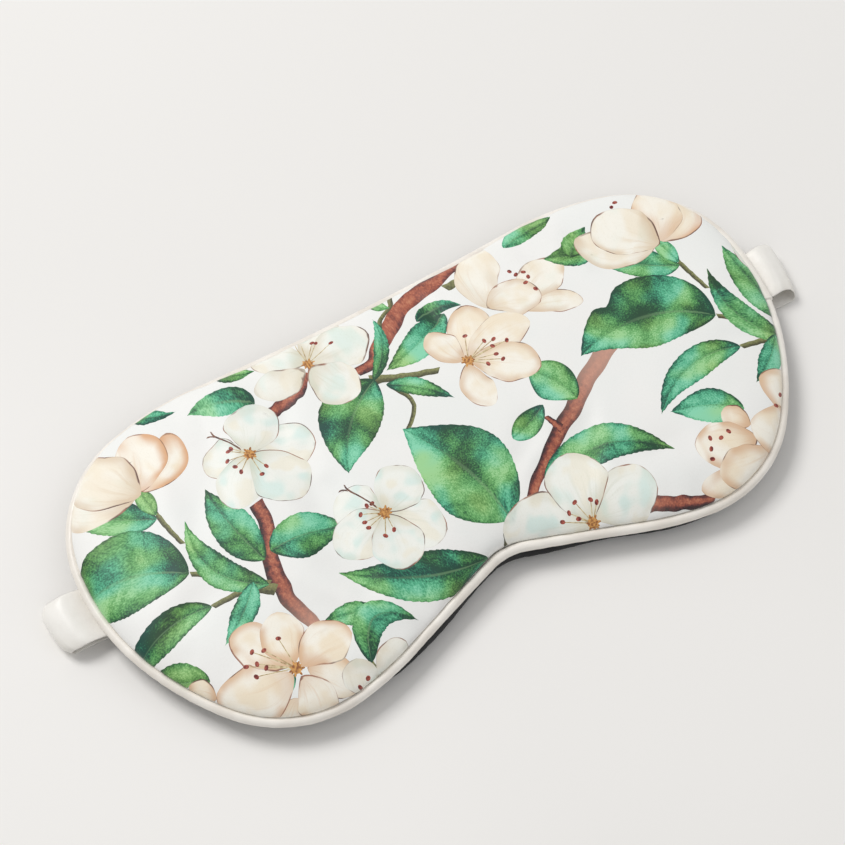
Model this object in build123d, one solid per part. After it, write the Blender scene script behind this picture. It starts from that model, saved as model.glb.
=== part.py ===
from build123d import *
import os
from math import cos, radians, sin

# Padded satin sleep mask, lying face up on its own folded strap. Millimetres, +Z up.
# +X runs along the mask, +Y points at the forehead edge and -Y at the nose notch.
# The origin is on the surface that the strap lies on, under the middle of the outline.

os.makedirs("parts", exist_ok=True)

# ---- outline: the outer edge of the piping, right half --------------------------------------
# Tangent arcs from the middle of the forehead edge round to the nose notch, as radius and turn
# in degrees (positive turns left, so the arc is hollow). The notch arc closes the chain.
FOREHEAD_Y = 50.15
HALF_ARCS = [
    (960, 3), (88, -18), (37, -69), (67, -28), (89, -17), (36.5, -59), (90, -12.5), (900, 2),
]

# ---- layers, from the seam plane outwards ---------------------------------------------------
SEAM_Z = 7.0
PIPING_RADIUS = 1.6
CORD_RADIUS = 1.15
FLANGE_WIDTH = 5.0
FLANGE_THICKNESS = 0.5
CLOTH = 0.35
LINING = 0.3
FRONT_RISE = 7.75
BACK_RISE = 3.1
DOME_REACH = 30.0
FRONT_FULLNESS = 2.8
BACK_FULLNESS = 4.2
DOME_STEPS = [0, 1.5, 4, 8, 14, 21, 30]
PANEL_INSET = 2 * PIPING_RADIUS + 0.1

# ---- stitching ------------------------------------------------------------------------------
STITCH_LENGTH = 2.2
STITCH_PITCH = 3.0
STITCH_WIDTH = 0.4
STITCH_HEIGHT = 0.25
STITCH_INSET = 4.7
PAD_INSET = 5.2
CLOSING_HALF_LENGTH = 36.0
LAYER_GAP = 0.1
CLEARANCE = 0.02

# ---- strap: flat woven band, 15 mm wide -----------------------------------------------------
STRAP_WIDTH = 15.0
STRAP_THICKNESS = 0.9
STRAP_Y = 6.0
STRAP_REACH = 115.5
STRAP_LEG_Z = 4.85
SEWN_END_X = 95.0
SEWN_END_Z = 5.95
LEG_START_X = 102.5
DIP_START_X = 98.5
BODY_GAP = 0.3
SLOT_MARGIN = 0.3
TACK_FROM_END = 1.5
TACK_COUNT = 4
TACK_PITCH = 3.0
TACK_ROOM = 5.0
RUN_Z = STRAP_THICKNESS / 2
FOLD_RADIUS = (STRAP_LEG_Z - RUN_Z) / 2
FOLD_X = STRAP_REACH - FOLD_RADIUS - STRAP_THICKNESS / 2
FOLD_Z = RUN_Z + FOLD_RADIUS

# ---- hook-and-loop closure, where the two strap ends lie over each other --------------------
OVERLAP_MIN_X = 5.0
OVERLAP_MAX_X = 45.0
RAMP_LENGTH = 12.0
RAMP_GAP = 3.0
PATCH_LENGTH = 34.0
PATCH_WIDTH = 11.0
PATCH_THICKNESS = 0.5
PATCH_THREAD = 0.1
PATCH_MARGIN = 1.0
PATCH_CORNER = 1.5
LONG_ROW = 5
SHORT_ROW = 1
PATCH_X = (OVERLAP_MIN_X + OVERLAP_MAX_X) / 2
HOOK_TOP_Z = STRAP_THICKNESS + PATCH_THICKNESS
LOOP_BOTTOM_Z = HOOK_TOP_Z + 2 * PATCH_THREAD + BODY_GAP
RAISED_RUN_Z = LOOP_BOTTOM_Z + PATCH_THICKNESS + STRAP_THICKNESS / 2


def save(node, shape):
    export_step(shape, f"parts/{node}.step")


# ---- outline helpers ------------------------------------------------------------------------
def half_outline(inset):
    """Right half of the outline, moved inwards by inset, as a list of tangent arcs."""
    point = Vector(0, FOREHEAD_Y - inset)
    heading = 0
    arcs = []
    for radius, turn in HALF_ARCS:
        moved = radius + inset if turn > 0 else radius - inset
        direction = Vector(cos(radians(heading)), sin(radians(heading)))
        arcs.append(JernArc(point, direction, moved, turn))
        point = arcs[-1] @ 1
        heading += turn
    notch_turn = -180 - heading
    notch_radius = point.X / sin(radians(notch_turn))
    direction = Vector(cos(radians(heading)), sin(radians(heading)))
    arcs.append(JernArc(point, direction, notch_radius, notch_turn))
    return arcs


def outline(inset):
    """Whole outline as one closed wire."""
    right = [arc.edge() for arc in half_outline(inset)]
    left = [edge.mirror(Plane.YZ) for edge in reversed(right)]
    return Wire(right + left)


def slice_at(inset, z):
    return Pos(0, 0, z) * Face(outline(inset))


def plate(inset, low, high):
    """Flat sheet with the mask's outline."""
    return extrude(slice_at(inset, low), high - low, dir=(0, 0, 1))


def dome(inset, base, rise):
    """Pillow half: steep beside the seam and level DOME_REACH further in; the back's rise is negative."""
    fullness = FRONT_FULLNESS if rise > 0 else BACK_FULLNESS
    slices = []
    for depth in DOME_STEPS:
        height = rise * (1 - (1 - depth / DOME_REACH) ** fullness)
        slices.append(slice_at(inset + depth, base + height))
    return loft(slices, ruled=True)


def ring(radius):
    """Round bead that follows the outline, as far in as the piping's middle line."""
    path = outline(PIPING_RADIUS)
    section = Plane(origin=path @ 0, x_dir=(0, 0, 1), z_dir=path % 0) * Circle(radius)
    return Pos(0, 0, SEAM_Z) * sweep(section, path=path)


# ---- strap helpers --------------------------------------------------------------------------
def band(path, thickness=STRAP_THICKNESS, width=STRAP_WIDTH):
    """Flat band whose middle line follows path, a wire or edge in the XZ plane at y = 0."""
    start = path @ 0
    along = path % 0
    section = Plane(origin=start, x_dir=(0, 1, 0), z_dir=along) * Rectangle(width, thickness)
    return Pos(0, STRAP_Y, 0) * sweep(section, path=path, transition=Transition.RIGHT)


def side(shape, sign):
    """The shape as drawn for the +X side, or mirrored to the -X side."""
    return shape if sign > 0 else mirror(shape, about=Plane.YZ)


def stitch(x, y, low, angle=0, height=STITCH_HEIGHT):
    bar = Box(STITCH_LENGTH, STITCH_WIDTH, height, align=(Align.CENTER, Align.CENTER, Align.MIN))
    return Pos(x, y, low) * Rot(0, 0, angle) * bar


def row_of_stitches(path, low, keep=lambda place: True):
    """Stitches at an even pitch along a closed wire."""
    count = round(path.length / STITCH_PITCH)
    stitches = []
    for index in range(count):
        place = path @ (index / count)
        direction = path % (index / count)
        if keep(place):
            angle = Vector(1, 0, 0).get_signed_angle(direction, Vector(0, 0, 1))
            stitches.append(stitch(place.X, place.Y, low, angle))
    return Compound(stitches)


# ---- mask layers ----------------------------------------------------------------------------
flange_top = SEAM_Z + FLANGE_THICKNESS / 2
flange_bottom = SEAM_Z - FLANGE_THICKNESS / 2
lining_bottom = flange_bottom - LINING
flange_inner = 2 * PIPING_RADIUS + FLANGE_WIDTH


def strap_path(inner_x=SEWN_END_X):
    """Sewn end of the strap: level in the seam, then dipping under the piping to the fold."""
    return Polyline(
        (inner_x, 0, SEWN_END_Z), (DIP_START_X, 0, SEWN_END_Z),
        (LEG_START_X, 0, STRAP_LEG_Z), (FOLD_X, 0, STRAP_LEG_Z),
    )


def strap_slot():
    """Room that the back layers leave for both sewn strap ends."""
    end = SEWN_END_X - SLOT_MARGIN
    slot = band(strap_path(end), STRAP_THICKNESS + SLOT_MARGIN, STRAP_WIDTH + SLOT_MARGIN)
    return slot + side(slot, -1)


def tack_slot():
    """Room over each sewn strap end for its tack stitches."""
    box = Box(TACK_ROOM, STRAP_WIDTH, LINING, align=(Align.CENTER, Align.CENTER, Align.MIN))
    placed = Pos(SEWN_END_X + TACK_FROM_END, STRAP_Y, lining_bottom) * box
    return placed + side(placed, -1)


def front_panel():
    inner = dome(PANEL_INSET + CLOTH, flange_top, FRONT_RISE - CLOTH)
    return dome(PANEL_INSET, flange_top, FRONT_RISE) - inner


def front_wadding():
    pad = dome(PAD_INSET, flange_top, FRONT_RISE - CLOTH - LAYER_GAP)
    return pad + plate(flange_inner + LAYER_GAP, flange_bottom, flange_top)


def blackout_lining():
    sheet = plate(PAD_INSET, lining_bottom, flange_bottom)
    return sheet - strap_slot() - tack_slot()


def back_panel():
    inner = dome(PANEL_INSET + CLOTH, flange_bottom, -(BACK_RISE - CLOTH))
    return dome(PANEL_INSET, flange_bottom, -BACK_RISE) - inner - strap_slot()


def back_wadding():
    pad = dome(PAD_INSET, lining_bottom, -(BACK_RISE - CLOTH - LAYER_GAP - LINING))
    return pad - strap_slot() - tack_slot()


def piping_cover():
    flange = plate(2 * PIPING_RADIUS - 2 * LAYER_GAP, flange_bottom, flange_top)
    flange -= plate(flange_inner, flange_bottom, flange_top)
    return ring(PIPING_RADIUS) + flange - ring(CORD_RADIUS + CLEARANCE)


save("front_panel", front_panel())
save("front_wadding", front_wadding())
save("blackout_lining", blackout_lining())
save("back_wadding", back_wadding())
save("back_panel", back_panel())
save("piping_cover", piping_cover())
save("piping_cord", ring(CORD_RADIUS))
save("perimeter_seam", row_of_stitches(outline(STITCH_INSET), flange_top))

closing_low = flange_bottom - STITCH_HEIGHT
save("closing_stitches", row_of_stitches(
    outline(STITCH_INSET), closing_low,
    keep=lambda place: place.Y > 0 and abs(place.X) < CLOSING_HALF_LENGTH,
))

# ---- strap: each band is sewn in, folds back under the mask and runs to the middle ----------


def strap_fold():
    """Half turn from the upper leg down to the surface."""
    start = (FOLD_X, 0, STRAP_LEG_Z)
    outermost = (FOLD_X + FOLD_RADIUS, 0, FOLD_Z)
    end = (FOLD_X, 0, RUN_Z)
    return band(ThreePointArc(start, outermost, end))


def strap_tack():
    """Short stitches across the sewn end of the strap."""
    low = SEWN_END_Z + STRAP_THICKNESS / 2 + CLEARANCE
    rows = []
    for index in range(TACK_COUNT):
        y = STRAP_Y + (index - (TACK_COUNT - 1) / 2) * TACK_PITCH
        rows.append(stitch(SEWN_END_X + TACK_FROM_END, y, low, angle=90))
    return Compound(rows)


def left_run():
    start = (-FOLD_X + BODY_GAP, 0, RUN_Z)
    return band(Polyline(start, (OVERLAP_MAX_X, 0, RUN_Z)))


def right_run():
    """Runs on the surface, then climbs onto the end of the other strap."""
    ramp_top = OVERLAP_MAX_X + RAMP_GAP
    return band(Polyline(
        (FOLD_X - BODY_GAP, 0, RUN_Z), (ramp_top + RAMP_LENGTH, 0, RUN_Z),
        (ramp_top, 0, RAISED_RUN_Z), (OVERLAP_MIN_X, 0, RAISED_RUN_Z),
    ))


def patch(low):
    block = Box(PATCH_LENGTH, PATCH_WIDTH, PATCH_THICKNESS, align=(Align.CENTER, Align.CENTER, Align.MIN))
    return Pos(PATCH_X, STRAP_Y, low) * fillet(block.edges().filter_by(Axis.Z), PATCH_CORNER)


def patch_stitches(low):
    """One row of thread a little inside each edge of a patch."""
    half_length = PATCH_LENGTH / 2 - PATCH_MARGIN
    half_width = PATCH_WIDTH / 2 - PATCH_MARGIN
    bars = []
    for index in range(-LONG_ROW, LONG_ROW + 1):
        for end in (-1, 1):
            x = PATCH_X + index * STITCH_PITCH
            bars.append(stitch(x, STRAP_Y + end * half_width, low, height=PATCH_THREAD))
    for index in range(-SHORT_ROW, SHORT_ROW + 1):
        for end in (-1, 1):
            y = STRAP_Y + index * STITCH_PITCH
            bars.append(stitch(PATCH_X + end * half_length, y, low, 90, PATCH_THREAD))
    return Compound(bars)


for name, sign in (("left", -1), ("right", 1)):
    save(f"{name}_strap_end", side(band(strap_path()), sign))
    save(f"{name}_strap_tack", side(strap_tack(), sign))
    save(f"{name}_strap_fold", side(strap_fold(), sign))

save("left_strap_run", left_run())
save("right_strap_run", right_run())
save("hook_patch", patch(STRAP_THICKNESS))
save("hook_patch_stitches", patch_stitches(HOOK_TOP_Z))
save("loop_patch", patch(LOOP_BOTTOM_Z))
save("loop_patch_stitches", patch_stitches(LOOP_BOTTOM_Z - PATCH_THREAD))
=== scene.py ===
import math
import random

import bmesh
import bpy
import numpy as np
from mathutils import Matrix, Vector, noise
from mathutils.geometry import delaunay_2d_cdt
from mathutils.kdtree import KDTree


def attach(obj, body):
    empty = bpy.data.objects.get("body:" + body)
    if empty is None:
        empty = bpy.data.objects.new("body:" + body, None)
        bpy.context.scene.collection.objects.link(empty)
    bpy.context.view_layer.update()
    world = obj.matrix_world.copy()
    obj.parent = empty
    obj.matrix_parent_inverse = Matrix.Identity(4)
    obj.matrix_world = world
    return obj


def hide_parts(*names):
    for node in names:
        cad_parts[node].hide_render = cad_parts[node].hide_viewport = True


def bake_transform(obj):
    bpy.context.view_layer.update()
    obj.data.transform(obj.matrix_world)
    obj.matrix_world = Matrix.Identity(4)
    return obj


# Padded satin sleep mask on its folded strap. The plan of the mask is worked out in millimetres,
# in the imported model's own frame, and every mesh is written in metres.

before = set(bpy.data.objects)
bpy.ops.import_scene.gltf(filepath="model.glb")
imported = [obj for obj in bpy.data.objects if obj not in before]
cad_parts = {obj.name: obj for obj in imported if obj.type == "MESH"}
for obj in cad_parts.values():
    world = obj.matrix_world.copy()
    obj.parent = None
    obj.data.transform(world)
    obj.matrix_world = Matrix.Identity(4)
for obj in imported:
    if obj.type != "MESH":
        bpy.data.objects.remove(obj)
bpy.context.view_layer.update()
MM = 0.001

# ---- the mask's outline, the same tangent arcs as the CAD model ----------------------------------
FOREHEAD_Y = 50.15
HALF_ARCS = [(960, 3), (88, -18), (37, -69), (67, -28), (89, -17), (36.5, -59), (90, -12.5), (900, 2)]
# an oblong that the outline lies within
HALF_LENGTH = 105
HALF_DEPTH = 52

SEAM_Z = 7.0
PIPING_RADIUS = 1.6
PANEL_INSET = 3.3
FLANGE_THICKNESS = 0.5
FLANGE_WIDTH = 5.0
CLOTH = 0.35
FLANGE_TOP = SEAM_Z + FLANGE_THICKNESS / 2
FLANGE_BOTTOM = SEAM_Z - FLANGE_THICKNESS / 2


def outline(inset, spacing):
    """The outline moved inwards by inset, as points and outward normals, clockwise from the top."""
    point = np.array([0.0, FOREHEAD_Y - inset])
    heading = 0.0
    arcs = [(radius, math.radians(turn)) for radius, turn in HALF_ARCS]
    last_turn = -math.pi - sum(turn for _, turn in arcs)
    points = []
    normals = []
    for radius, turn in arcs + [(None, last_turn)]:
        hollow = turn > 0
        if radius is None:
            moved = point[0] / math.sin(turn)
        else:
            moved = radius + inset if hollow else radius - inset
        side = 1 if hollow else -1
        centre = point + side * moved * np.array([-math.sin(heading), math.cos(heading)])
        count = max(2, round(abs(turn) * moved / spacing))
        for step in range(count):
            angle = heading + turn * step / count
            normal = np.array([-math.sin(angle), math.cos(angle)])
            points.append(centre - side * moved * normal)
            normals.append(normal)
        heading += turn
        normal = np.array([-math.sin(heading), math.cos(heading)])
        point = centre - side * moved * normal
    points.append(point)
    normals.append(np.array([0.0, -1.0]))
    flip = np.array([-1, 1])
    left = [p * flip for p in points[-2:0:-1]]
    left_normals = [n * flip for n in normals[-2:0:-1]]
    return np.array(points + left), np.array(normals + left_normals)


def search_tree(points):
    """Tree that finds the nearest of these points of the plan."""
    tree = KDTree(len(points))
    for k, (x, y) in enumerate(points):
        tree.insert((x, y, 0), k)
    tree.balance()
    return tree


SEAM, SEAM_NORMALS = outline(PANEL_INSET, 0.2)
SEAM_TREE = search_tree(SEAM)


def from_seam(points):
    """Distance inwards from the panel's seam, outward normal and place along the seam (0 to 1)."""
    nearest = np.array([SEAM_TREE.find((x, y, 0))[1] for x, y in points])
    normal = SEAM_NORMALS[nearest]
    distance = ((SEAM[nearest] - points) * normal).sum(axis=1)
    return distance, normal, nearest / len(SEAM)


def smoothstep(low, high, x):
    """Soft step from 0 at low to 1 at high."""
    t = np.clip((x - low) / (high - low), 0, 1)
    return t * t * (3 - 2 * t)


# ---- the padded shape ----------------------------------------------------------------------------
# Cross-section of the front from the seam inwards, as the control points (in, up) of a curve.
SHOULDER = 14.0
CROWN_REACH = 38.0
SHOULDER_Z = 6.4
CROWN_Z = 7.6
SOFT_EDGE = np.array([(0, 0), (-1.6, 1.6), (0.6, 4.2), (7, 5.9), (SHOULDER, SHOULDER_Z)])
ROLLED_EDGE = np.array([(0, 0), (0, 1.6), (-4.6, 3.8), (3, 5.6), (SHOULDER, SHOULDER_Z)])
BACK_SHOULDER = 2.55
BACK_CROWN = 2.7
BACK_SOFT = np.array([(0, 0), (0.4, 1.2), (3, 2.1), (8, 2.5), (SHOULDER, BACK_SHOULDER)])
BACK_ROLLED = np.array([(0, 0), (0, 2.3), (-9.9, 1.6), (-2, 3.2), (SHOULDER, BACK_SHOULDER)])
STRAP_UNDERSIDE = ((94, 98.8, 100.6, 102.6), (5.5, 5.35, 4.85, 4.45))
STRAP_Y = 6.0
STRAP_HALF_WIDTH = 7.5


# the wadding's lumps: how high, how wide, and the seed of their noise
LUMPS = ((0.35, 34, 1.7), (0.12, 11, 5.1))
# the seam's small puckers: how many go round the mask, and how high they stand
FRONT_PUCKERS = 83
FRONT_PUCKER_RISE = 0.07
BACK_PUCKERS = 76
BACK_PUCKER_RISE = 0.09


def bezier(control, t):
    """Quartic curve through control, an array (n, 5, 2), at t (n)."""
    weights = [math.comb(4, k) * (1 - t) ** (4 - k) * t ** k for k in range(5)]
    return sum(w[:, None] * control[:, k] for k, w in enumerate(weights))


def ripple(points, scale, seed):
    """Smooth noise over the plan, from -1 to 1."""
    return np.array([noise.noise(Vector((p[0] / scale, p[1] / scale, seed))) for p in points])


def beside_seam(distance):
    """How far the seam's puckers show at distance: 0 at the seam, then 1, and 0 again inside."""
    return smoothstep(0.2, 1.5, distance) * (1 - smoothstep(2, 9, distance))


def front_profile(distance, normal):
    """How far in from the seam, and how high over it, the cloth lies that was cut at distance."""
    rolled = smoothstep(0.0, 0.75, normal[:, 1])[:, None, None]
    control = SOFT_EDGE * (1 - rolled) + ROLLED_EDGE * rolled
    edge = bezier(control, np.clip(distance / SHOULDER, 0, 1))
    past = np.clip((distance - SHOULDER) / (CROWN_REACH - SHOULDER), 0, 1)
    crown = SHOULDER_Z + (CROWN_Z - SHOULDER_Z) * (1 - (1 - past) ** 2)
    at_edge = distance < SHOULDER
    return np.where(at_edge, edge[:, 0], distance), np.where(at_edge, edge[:, 1], crown)


def front_shape(points):
    """The padded front without its creases: plan, height over the seam, and the seam's facts."""
    distance, normal, along = from_seam(points)
    inward, height = front_profile(distance, normal)
    return points + normal * (distance - inward)[:, None], height, distance, along


def stuffed_front(points):
    """The padded front with the slight lumps of its wadding."""
    moved, height, distance, along = front_shape(points)
    settle = smoothstep(0, 12, distance)
    for rise, width, seed in LUMPS:
        height = height + rise * settle * ripple(points, width, seed)
    turn = along * 2 * math.pi
    pucker = np.sin(turn * FRONT_PUCKERS + 2.2 * np.sin(turn * 9))
    height = height + FRONT_PUCKER_RISE * pucker * beside_seam(distance)
    return np.column_stack([moved, FLANGE_TOP + CLOTH + height])


# How the cloth of the front settles over its wadding: settle_front() fills SETTLED in.
SETTLE_SPACING = 3.0
SETTLE_REACH = 5.5
SETTLE_CAP = 0.9
SETTLE_FRAMES = 20
SETTLED = {}


def front_surface(points):
    """Where the flat points of the printed panel come to lie on the padded front, in mm."""
    surface = stuffed_front(points)
    if not SETTLED:
        return surface
    tree, shift = SETTLED["tree"], SETTLED["shift"]
    for k, (x, y) in enumerate(points):
        near = tree.find_n((x, y, 0), 6)
        weight = np.array([max(0.0, 1 - gap / SETTLE_REACH) ** 2 + 1e-6 for _, _, gap in near])
        surface[k] += (shift[[index for _, index, _ in near]] * weight[:, None]).sum(axis=0) / weight.sum()
    return surface


def back_shape(points, rolls, inside=0.0):
    """A flatter pillow that rolls out from under the piping at the notch, moved inside by some mm."""
    distance, normal, along = from_seam(points)
    seam_x = (points + normal * distance[:, None])[:, 0]
    left_end = smoothstep(40, 68, -seam_x)
    right_end = 0.14 * smoothstep(12, 45, seam_x) + 0.86 * smoothstep(58, 90, seam_x)
    notch = smoothstep(0.3, 0.9, -normal[:, 1]) * (1 - left_end - right_end)
    slack = rolls * notch * (1 + 0.06 * np.cos((seam_x - 8) / 5.7))
    control = BACK_SOFT + (BACK_ROLLED - BACK_SOFT) * slack[:, None, None]
    part = np.clip(distance / SHOULDER, 0, 1)
    edge = bezier(control, part)
    ahead = bezier(control, part + 0.01) - bezier(control, part - 0.01)
    ahead[distance >= SHOULDER] = (1, 0)
    ahead *= inside / np.hypot(*ahead.T)[:, None]
    inward = np.where(distance < SHOULDER, edge[:, 0], distance) + ahead[:, 1]
    past = np.clip((distance - SHOULDER) / SHOULDER, 0, 1)
    crown = BACK_SHOULDER + (BACK_CROWN - BACK_SHOULDER) * (1 - (1 - past) ** 2)
    drop = np.where(distance < SHOULDER, edge[:, 1], crown) - ahead[:, 0]
    turn = along * 2 * math.pi
    pucker = np.sin(turn * BACK_PUCKERS) + 0.6 * np.sin(turn * 131)
    drop = drop + BACK_PUCKER_RISE * pucker * beside_seam(distance)
    height = FLANGE_BOTTOM - CLOTH - 0.02 - drop
    x, y = np.abs(points[:, 0]), points[:, 1] - STRAP_Y
    beside = 1 - smoothstep(STRAP_HALF_WIDTH + 0.2, STRAP_HALF_WIDTH + 3, np.abs(y))
    beside *= smoothstep(88, 94, x)
    under_strap = np.interp(x, *STRAP_UNDERSIDE) - CLOTH - 0.1 + inside
    height = height + beside * (np.minimum(height, under_strap) - height)
    return np.column_stack([points + normal * (distance - inward)[:, None], height])


def back_surface(points):
    """The back panel's outer face."""
    return back_shape(points, 1)


def back_inner(points):
    """The back panel's inner face."""
    return back_shape(points, 1, CLOTH)


def back_filling(points):
    """The lower face of the back wadding, which stops short of the roll."""
    return back_shape(points, 0, CLOTH + 0.15)


# ---- meshes --------------------------------------------------------------------------------------
def new_object(name, points, faces, smooth=True):
    """Mesh object from points in mm."""
    mesh = bpy.data.meshes.new(name)
    corners = [tuple(float(c) * MM for c in p) for p in points]
    mesh.from_pydata(corners, [], [tuple(map(int, f)) for f in faces])
    mesh.update()
    thing = bpy.data.objects.new(name, mesh)
    bpy.context.scene.collection.objects.link(thing)
    if smooth:
        mesh.polygons.foreach_set("use_smooth", [True] * len(mesh.polygons))
    return thing


def grid_inside(spacing, margin):
    """A staggered grid of points over the mask, at least margin inside the seam."""
    rows = []
    for row, y in enumerate(np.arange(-HALF_DEPTH, HALF_DEPTH, spacing * 0.866)):
        shift = 0.5 * spacing * (row % 2)
        xs = np.arange(-HALF_LENGTH, HALF_LENGTH, spacing) + shift
        rows.append(np.column_stack([xs, np.full(len(xs), y)]))
    points = np.vstack(rows)
    distance, _, _ = from_seam(points)
    return points[distance > margin]


def triangulate(points, loops, depth=0.0):
    """Triangles over points, at least depth inside the seam. The loops of point numbers are creases."""
    edges = []
    for loop in loops:
        edges += [(loop[k], loop[(k + 1) % len(loop)]) for k in range(len(loop))]
    made = delaunay_2d_cdt([Vector(p) for p in points], edges, [], 0, 1e-5, False)
    flat = np.array([(v.x, v.y) for v in made[0]])
    faces = np.array(made[2])
    middle = flat[faces].mean(axis=1)
    distance, _, _ = from_seam(middle)
    corner = flat[faces]
    a = corner[:, 1] - corner[:, 0]
    b = corner[:, 2] - corner[:, 0]
    area = a[:, 0] * b[:, 1] - a[:, 1] * b[:, 0]
    faces[area < 0] = faces[area < 0][:, ::-1]
    keep = (distance > depth) & (np.abs(area) > 1e-7)
    faces = faces[keep]
    used = np.unique(faces)
    renumber = np.full(len(flat), -1)
    renumber[used] = np.arange(len(used))
    return flat[used], renumber[faces]


def rim_of(faces):
    """The boundary of a triangulated sheet as one ordered loop of point numbers."""
    follow = {}
    seen = set()
    for a, b, c in faces:
        for edge in ((a, b), (b, c), (c, a)):
            seen.add(edge)
    for a, b in seen:
        if (b, a) not in seen:
            follow[a] = b
    start = next(iter(follow))
    loop = [start]
    while follow[loop[-1]] != start:
        loop.append(follow[loop[-1]])
    return loop


INNER_GRID = 3.0
INNER_MARGIN = 1.5


def shell(name, flat, faces, surface, lining):
    """Closed thin cloth: the shown face, a coarser inner face and the rim between them."""
    rim = rim_of(faces)
    inner_points = np.vstack([flat[rim], grid_inside(INNER_GRID, INNER_MARGIN)])
    inner_flat, inner_faces = triangulate(inner_points, [list(range(len(rim)))])
    tree = search_tree(inner_flat)
    partner = [len(flat) + tree.find((*flat[r], 0))[1] for r in rim]
    sides = [(rim[k], rim[k - 1], partner[k - 1], partner[k]) for k in range(len(rim))]
    all_faces = [tuple(f) for f in faces] + [tuple(f[::-1] + len(flat)) for f in inner_faces] + sides
    thing = new_object(name, np.vstack([surface(flat), lining(inner_flat)]), all_faces)
    remember_cloth(thing, np.vstack([flat, inner_flat]))
    return thing


def remember_cloth(thing, flat):
    """Each point's place on the cut cloth, in mm, for weaves that move with the cloth."""
    flat = np.asarray(flat, float)
    values = np.zeros((len(flat), 3))
    values[:, :flat.shape[1]] = flat
    thing.data.attributes.new("cloth", "FLOAT_VECTOR", "POINT").data.foreach_set("vector", values.ravel())


def face_outwards(thing):
    """Turn the faces of a closed mesh so that they all face outwards."""
    work = bmesh.new()
    work.from_mesh(thing.data)
    bmesh.ops.recalc_face_normals(work, faces=work.faces[:])
    work.to_mesh(thing.data)
    work.free()


def tube(start, rings, around, closed=False):
    """Faces of a tube whose points come ring after ring from number start, capped unless it closes."""
    faces = []
    for ring in range(rings if closed else rings - 1):
        here = ring * around
        after = (ring + 1) % rings * around
        for k in range(around):
            beside = (k + 1) % around
            faces.append((here + k, here + beside, after + beside, after + k))
    if not closed:
        faces.append(tuple(range(around))[::-1])
        faces.append(tuple(range((rings - 1) * around, rings * around)))
    return [tuple(start + corner for corner in face) for face in faces]


def sweep(name, sections, cloth, closed=False, inner=None):
    """Skin over a row of closed sections. inner is a second row that hollows it."""
    points = np.vstack(sections)
    places = np.vstack(cloth)
    faces = tube(0, len(sections), len(sections[0]), closed)
    if inner is not None:
        faces += [face[::-1] for face in tube(len(points), len(inner), len(inner[0]), closed)]
        points = np.vstack([points] + list(inner))
        places = np.vstack([places, np.zeros((len(points) - len(places), 3))])
    thing = new_object(name, points, faces)
    remember_cloth(thing, places)
    if inner is None:
        face_outwards(thing)
    return thing


# ---- the cloth of the front settles over its wadding ---------------------------------------------
def settle_front():
    """Blow the front up as cloth held at its seam, and keep how each point of it moved, in mm."""
    rim_points, _ = outline(PANEL_INSET, SETTLE_SPACING)
    points = np.vstack([rim_points, grid_inside(SETTLE_SPACING, 0.4 * SETTLE_SPACING)])
    flat, faces = triangulate(points, [list(range(len(rim_points)))])
    before = stuffed_front(flat)
    trial = new_object("settling_cloth", before, faces)
    held = trial.vertex_groups.new(name="seam")
    held.add([int(index) for index in rim_of(faces)], 1.0, "REPLACE")
    cloth = trial.modifiers.new("cloth", "CLOTH").settings
    cloth.quality = 8
    cloth.mass = 0.15
    cloth.tension_stiffness = 20
    cloth.compression_stiffness = 20
    cloth.shear_stiffness = 8
    cloth.bending_stiffness = 0.3
    cloth.vertex_group_mass = held.name
    cloth.use_pressure = True
    cloth.uniform_pressure_force = 4
    cloth.shrink_min = -0.02
    cloth.effector_weights.gravity = 0
    for frame_number in range(1, SETTLE_FRAMES + 1):
        bpy.context.scene.frame_set(frame_number)
    settled = trial.evaluated_get(bpy.context.evaluated_depsgraph_get())
    after = np.array([v.co for v in settled.data.vertices]) / MM
    bpy.context.scene.frame_set(1)
    shift = after - before
    size = np.linalg.norm(shift, axis=1)
    shift *= np.minimum(1, SETTLE_CAP / np.maximum(size, 1e-6))[:, None]
    bpy.data.objects.remove(trial)
    SETTLED["tree"] = search_tree(flat)
    SETTLED["shift"] = shift


# ---- the print: motifs drawn on the flat panel ---------------------------------------------------
# A motif is a spine with a width on each side. The cloth's print repeats every REPEAT.
REPEAT = np.array([161.5, -3.0])
FINE = 0.5
PETAL_FINE = 0.35
TWIG_FINE = 0.7
DOT_POINTS = 9
STEM_WEIGHT = 1.35
HEART_DOTS = 11
THINNEST = 0.02
# a stamen that ends further than this from its flower's heart is drawn without its filament
LONGEST_FILAMENT = 16


def through(path, count):
    """Smooth path through the points of path, as count points."""
    path = np.array(path, float)
    ends = np.vstack([2 * path[0] - path[1], path, 2 * path[-1] - path[-2]])
    t = np.linspace(0, len(path) - 1 - 1e-9, count)
    k = t.astype(int)
    f = (t - k)[:, None]
    p0, p1, p2, p3 = (ends[k + j] for j in range(4))
    return 0.5 * (2 * p1 + (p2 - p0) * f + (2 * p0 - 5 * p1 + 4 * p2 - p3) * f ** 2
                  + (3 * p1 - p0 - 3 * p2 + p3) * f ** 3)


def arc_spine(base, tip, bend, count):
    """Curved line from base to tip that stands off to the left by bend at its middle."""
    base, tip = np.array(base, float), np.array(tip, float)
    along = tip - base
    left = np.array([-along[1], along[0]]) / np.hypot(*along)
    t = np.linspace(0, 1, count)[:, None]
    return base + along * t + left * bend * 4 * t * (1 - t)


def left_of(spine):
    """Direction to the left of the spine at each of its points."""
    along = np.gradient(spine, axis=0)
    along /= np.hypot(along[:, 0], along[:, 1])[:, None] + 1e-9
    return np.column_stack([-along[:, 1], along[:, 0]])


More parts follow.
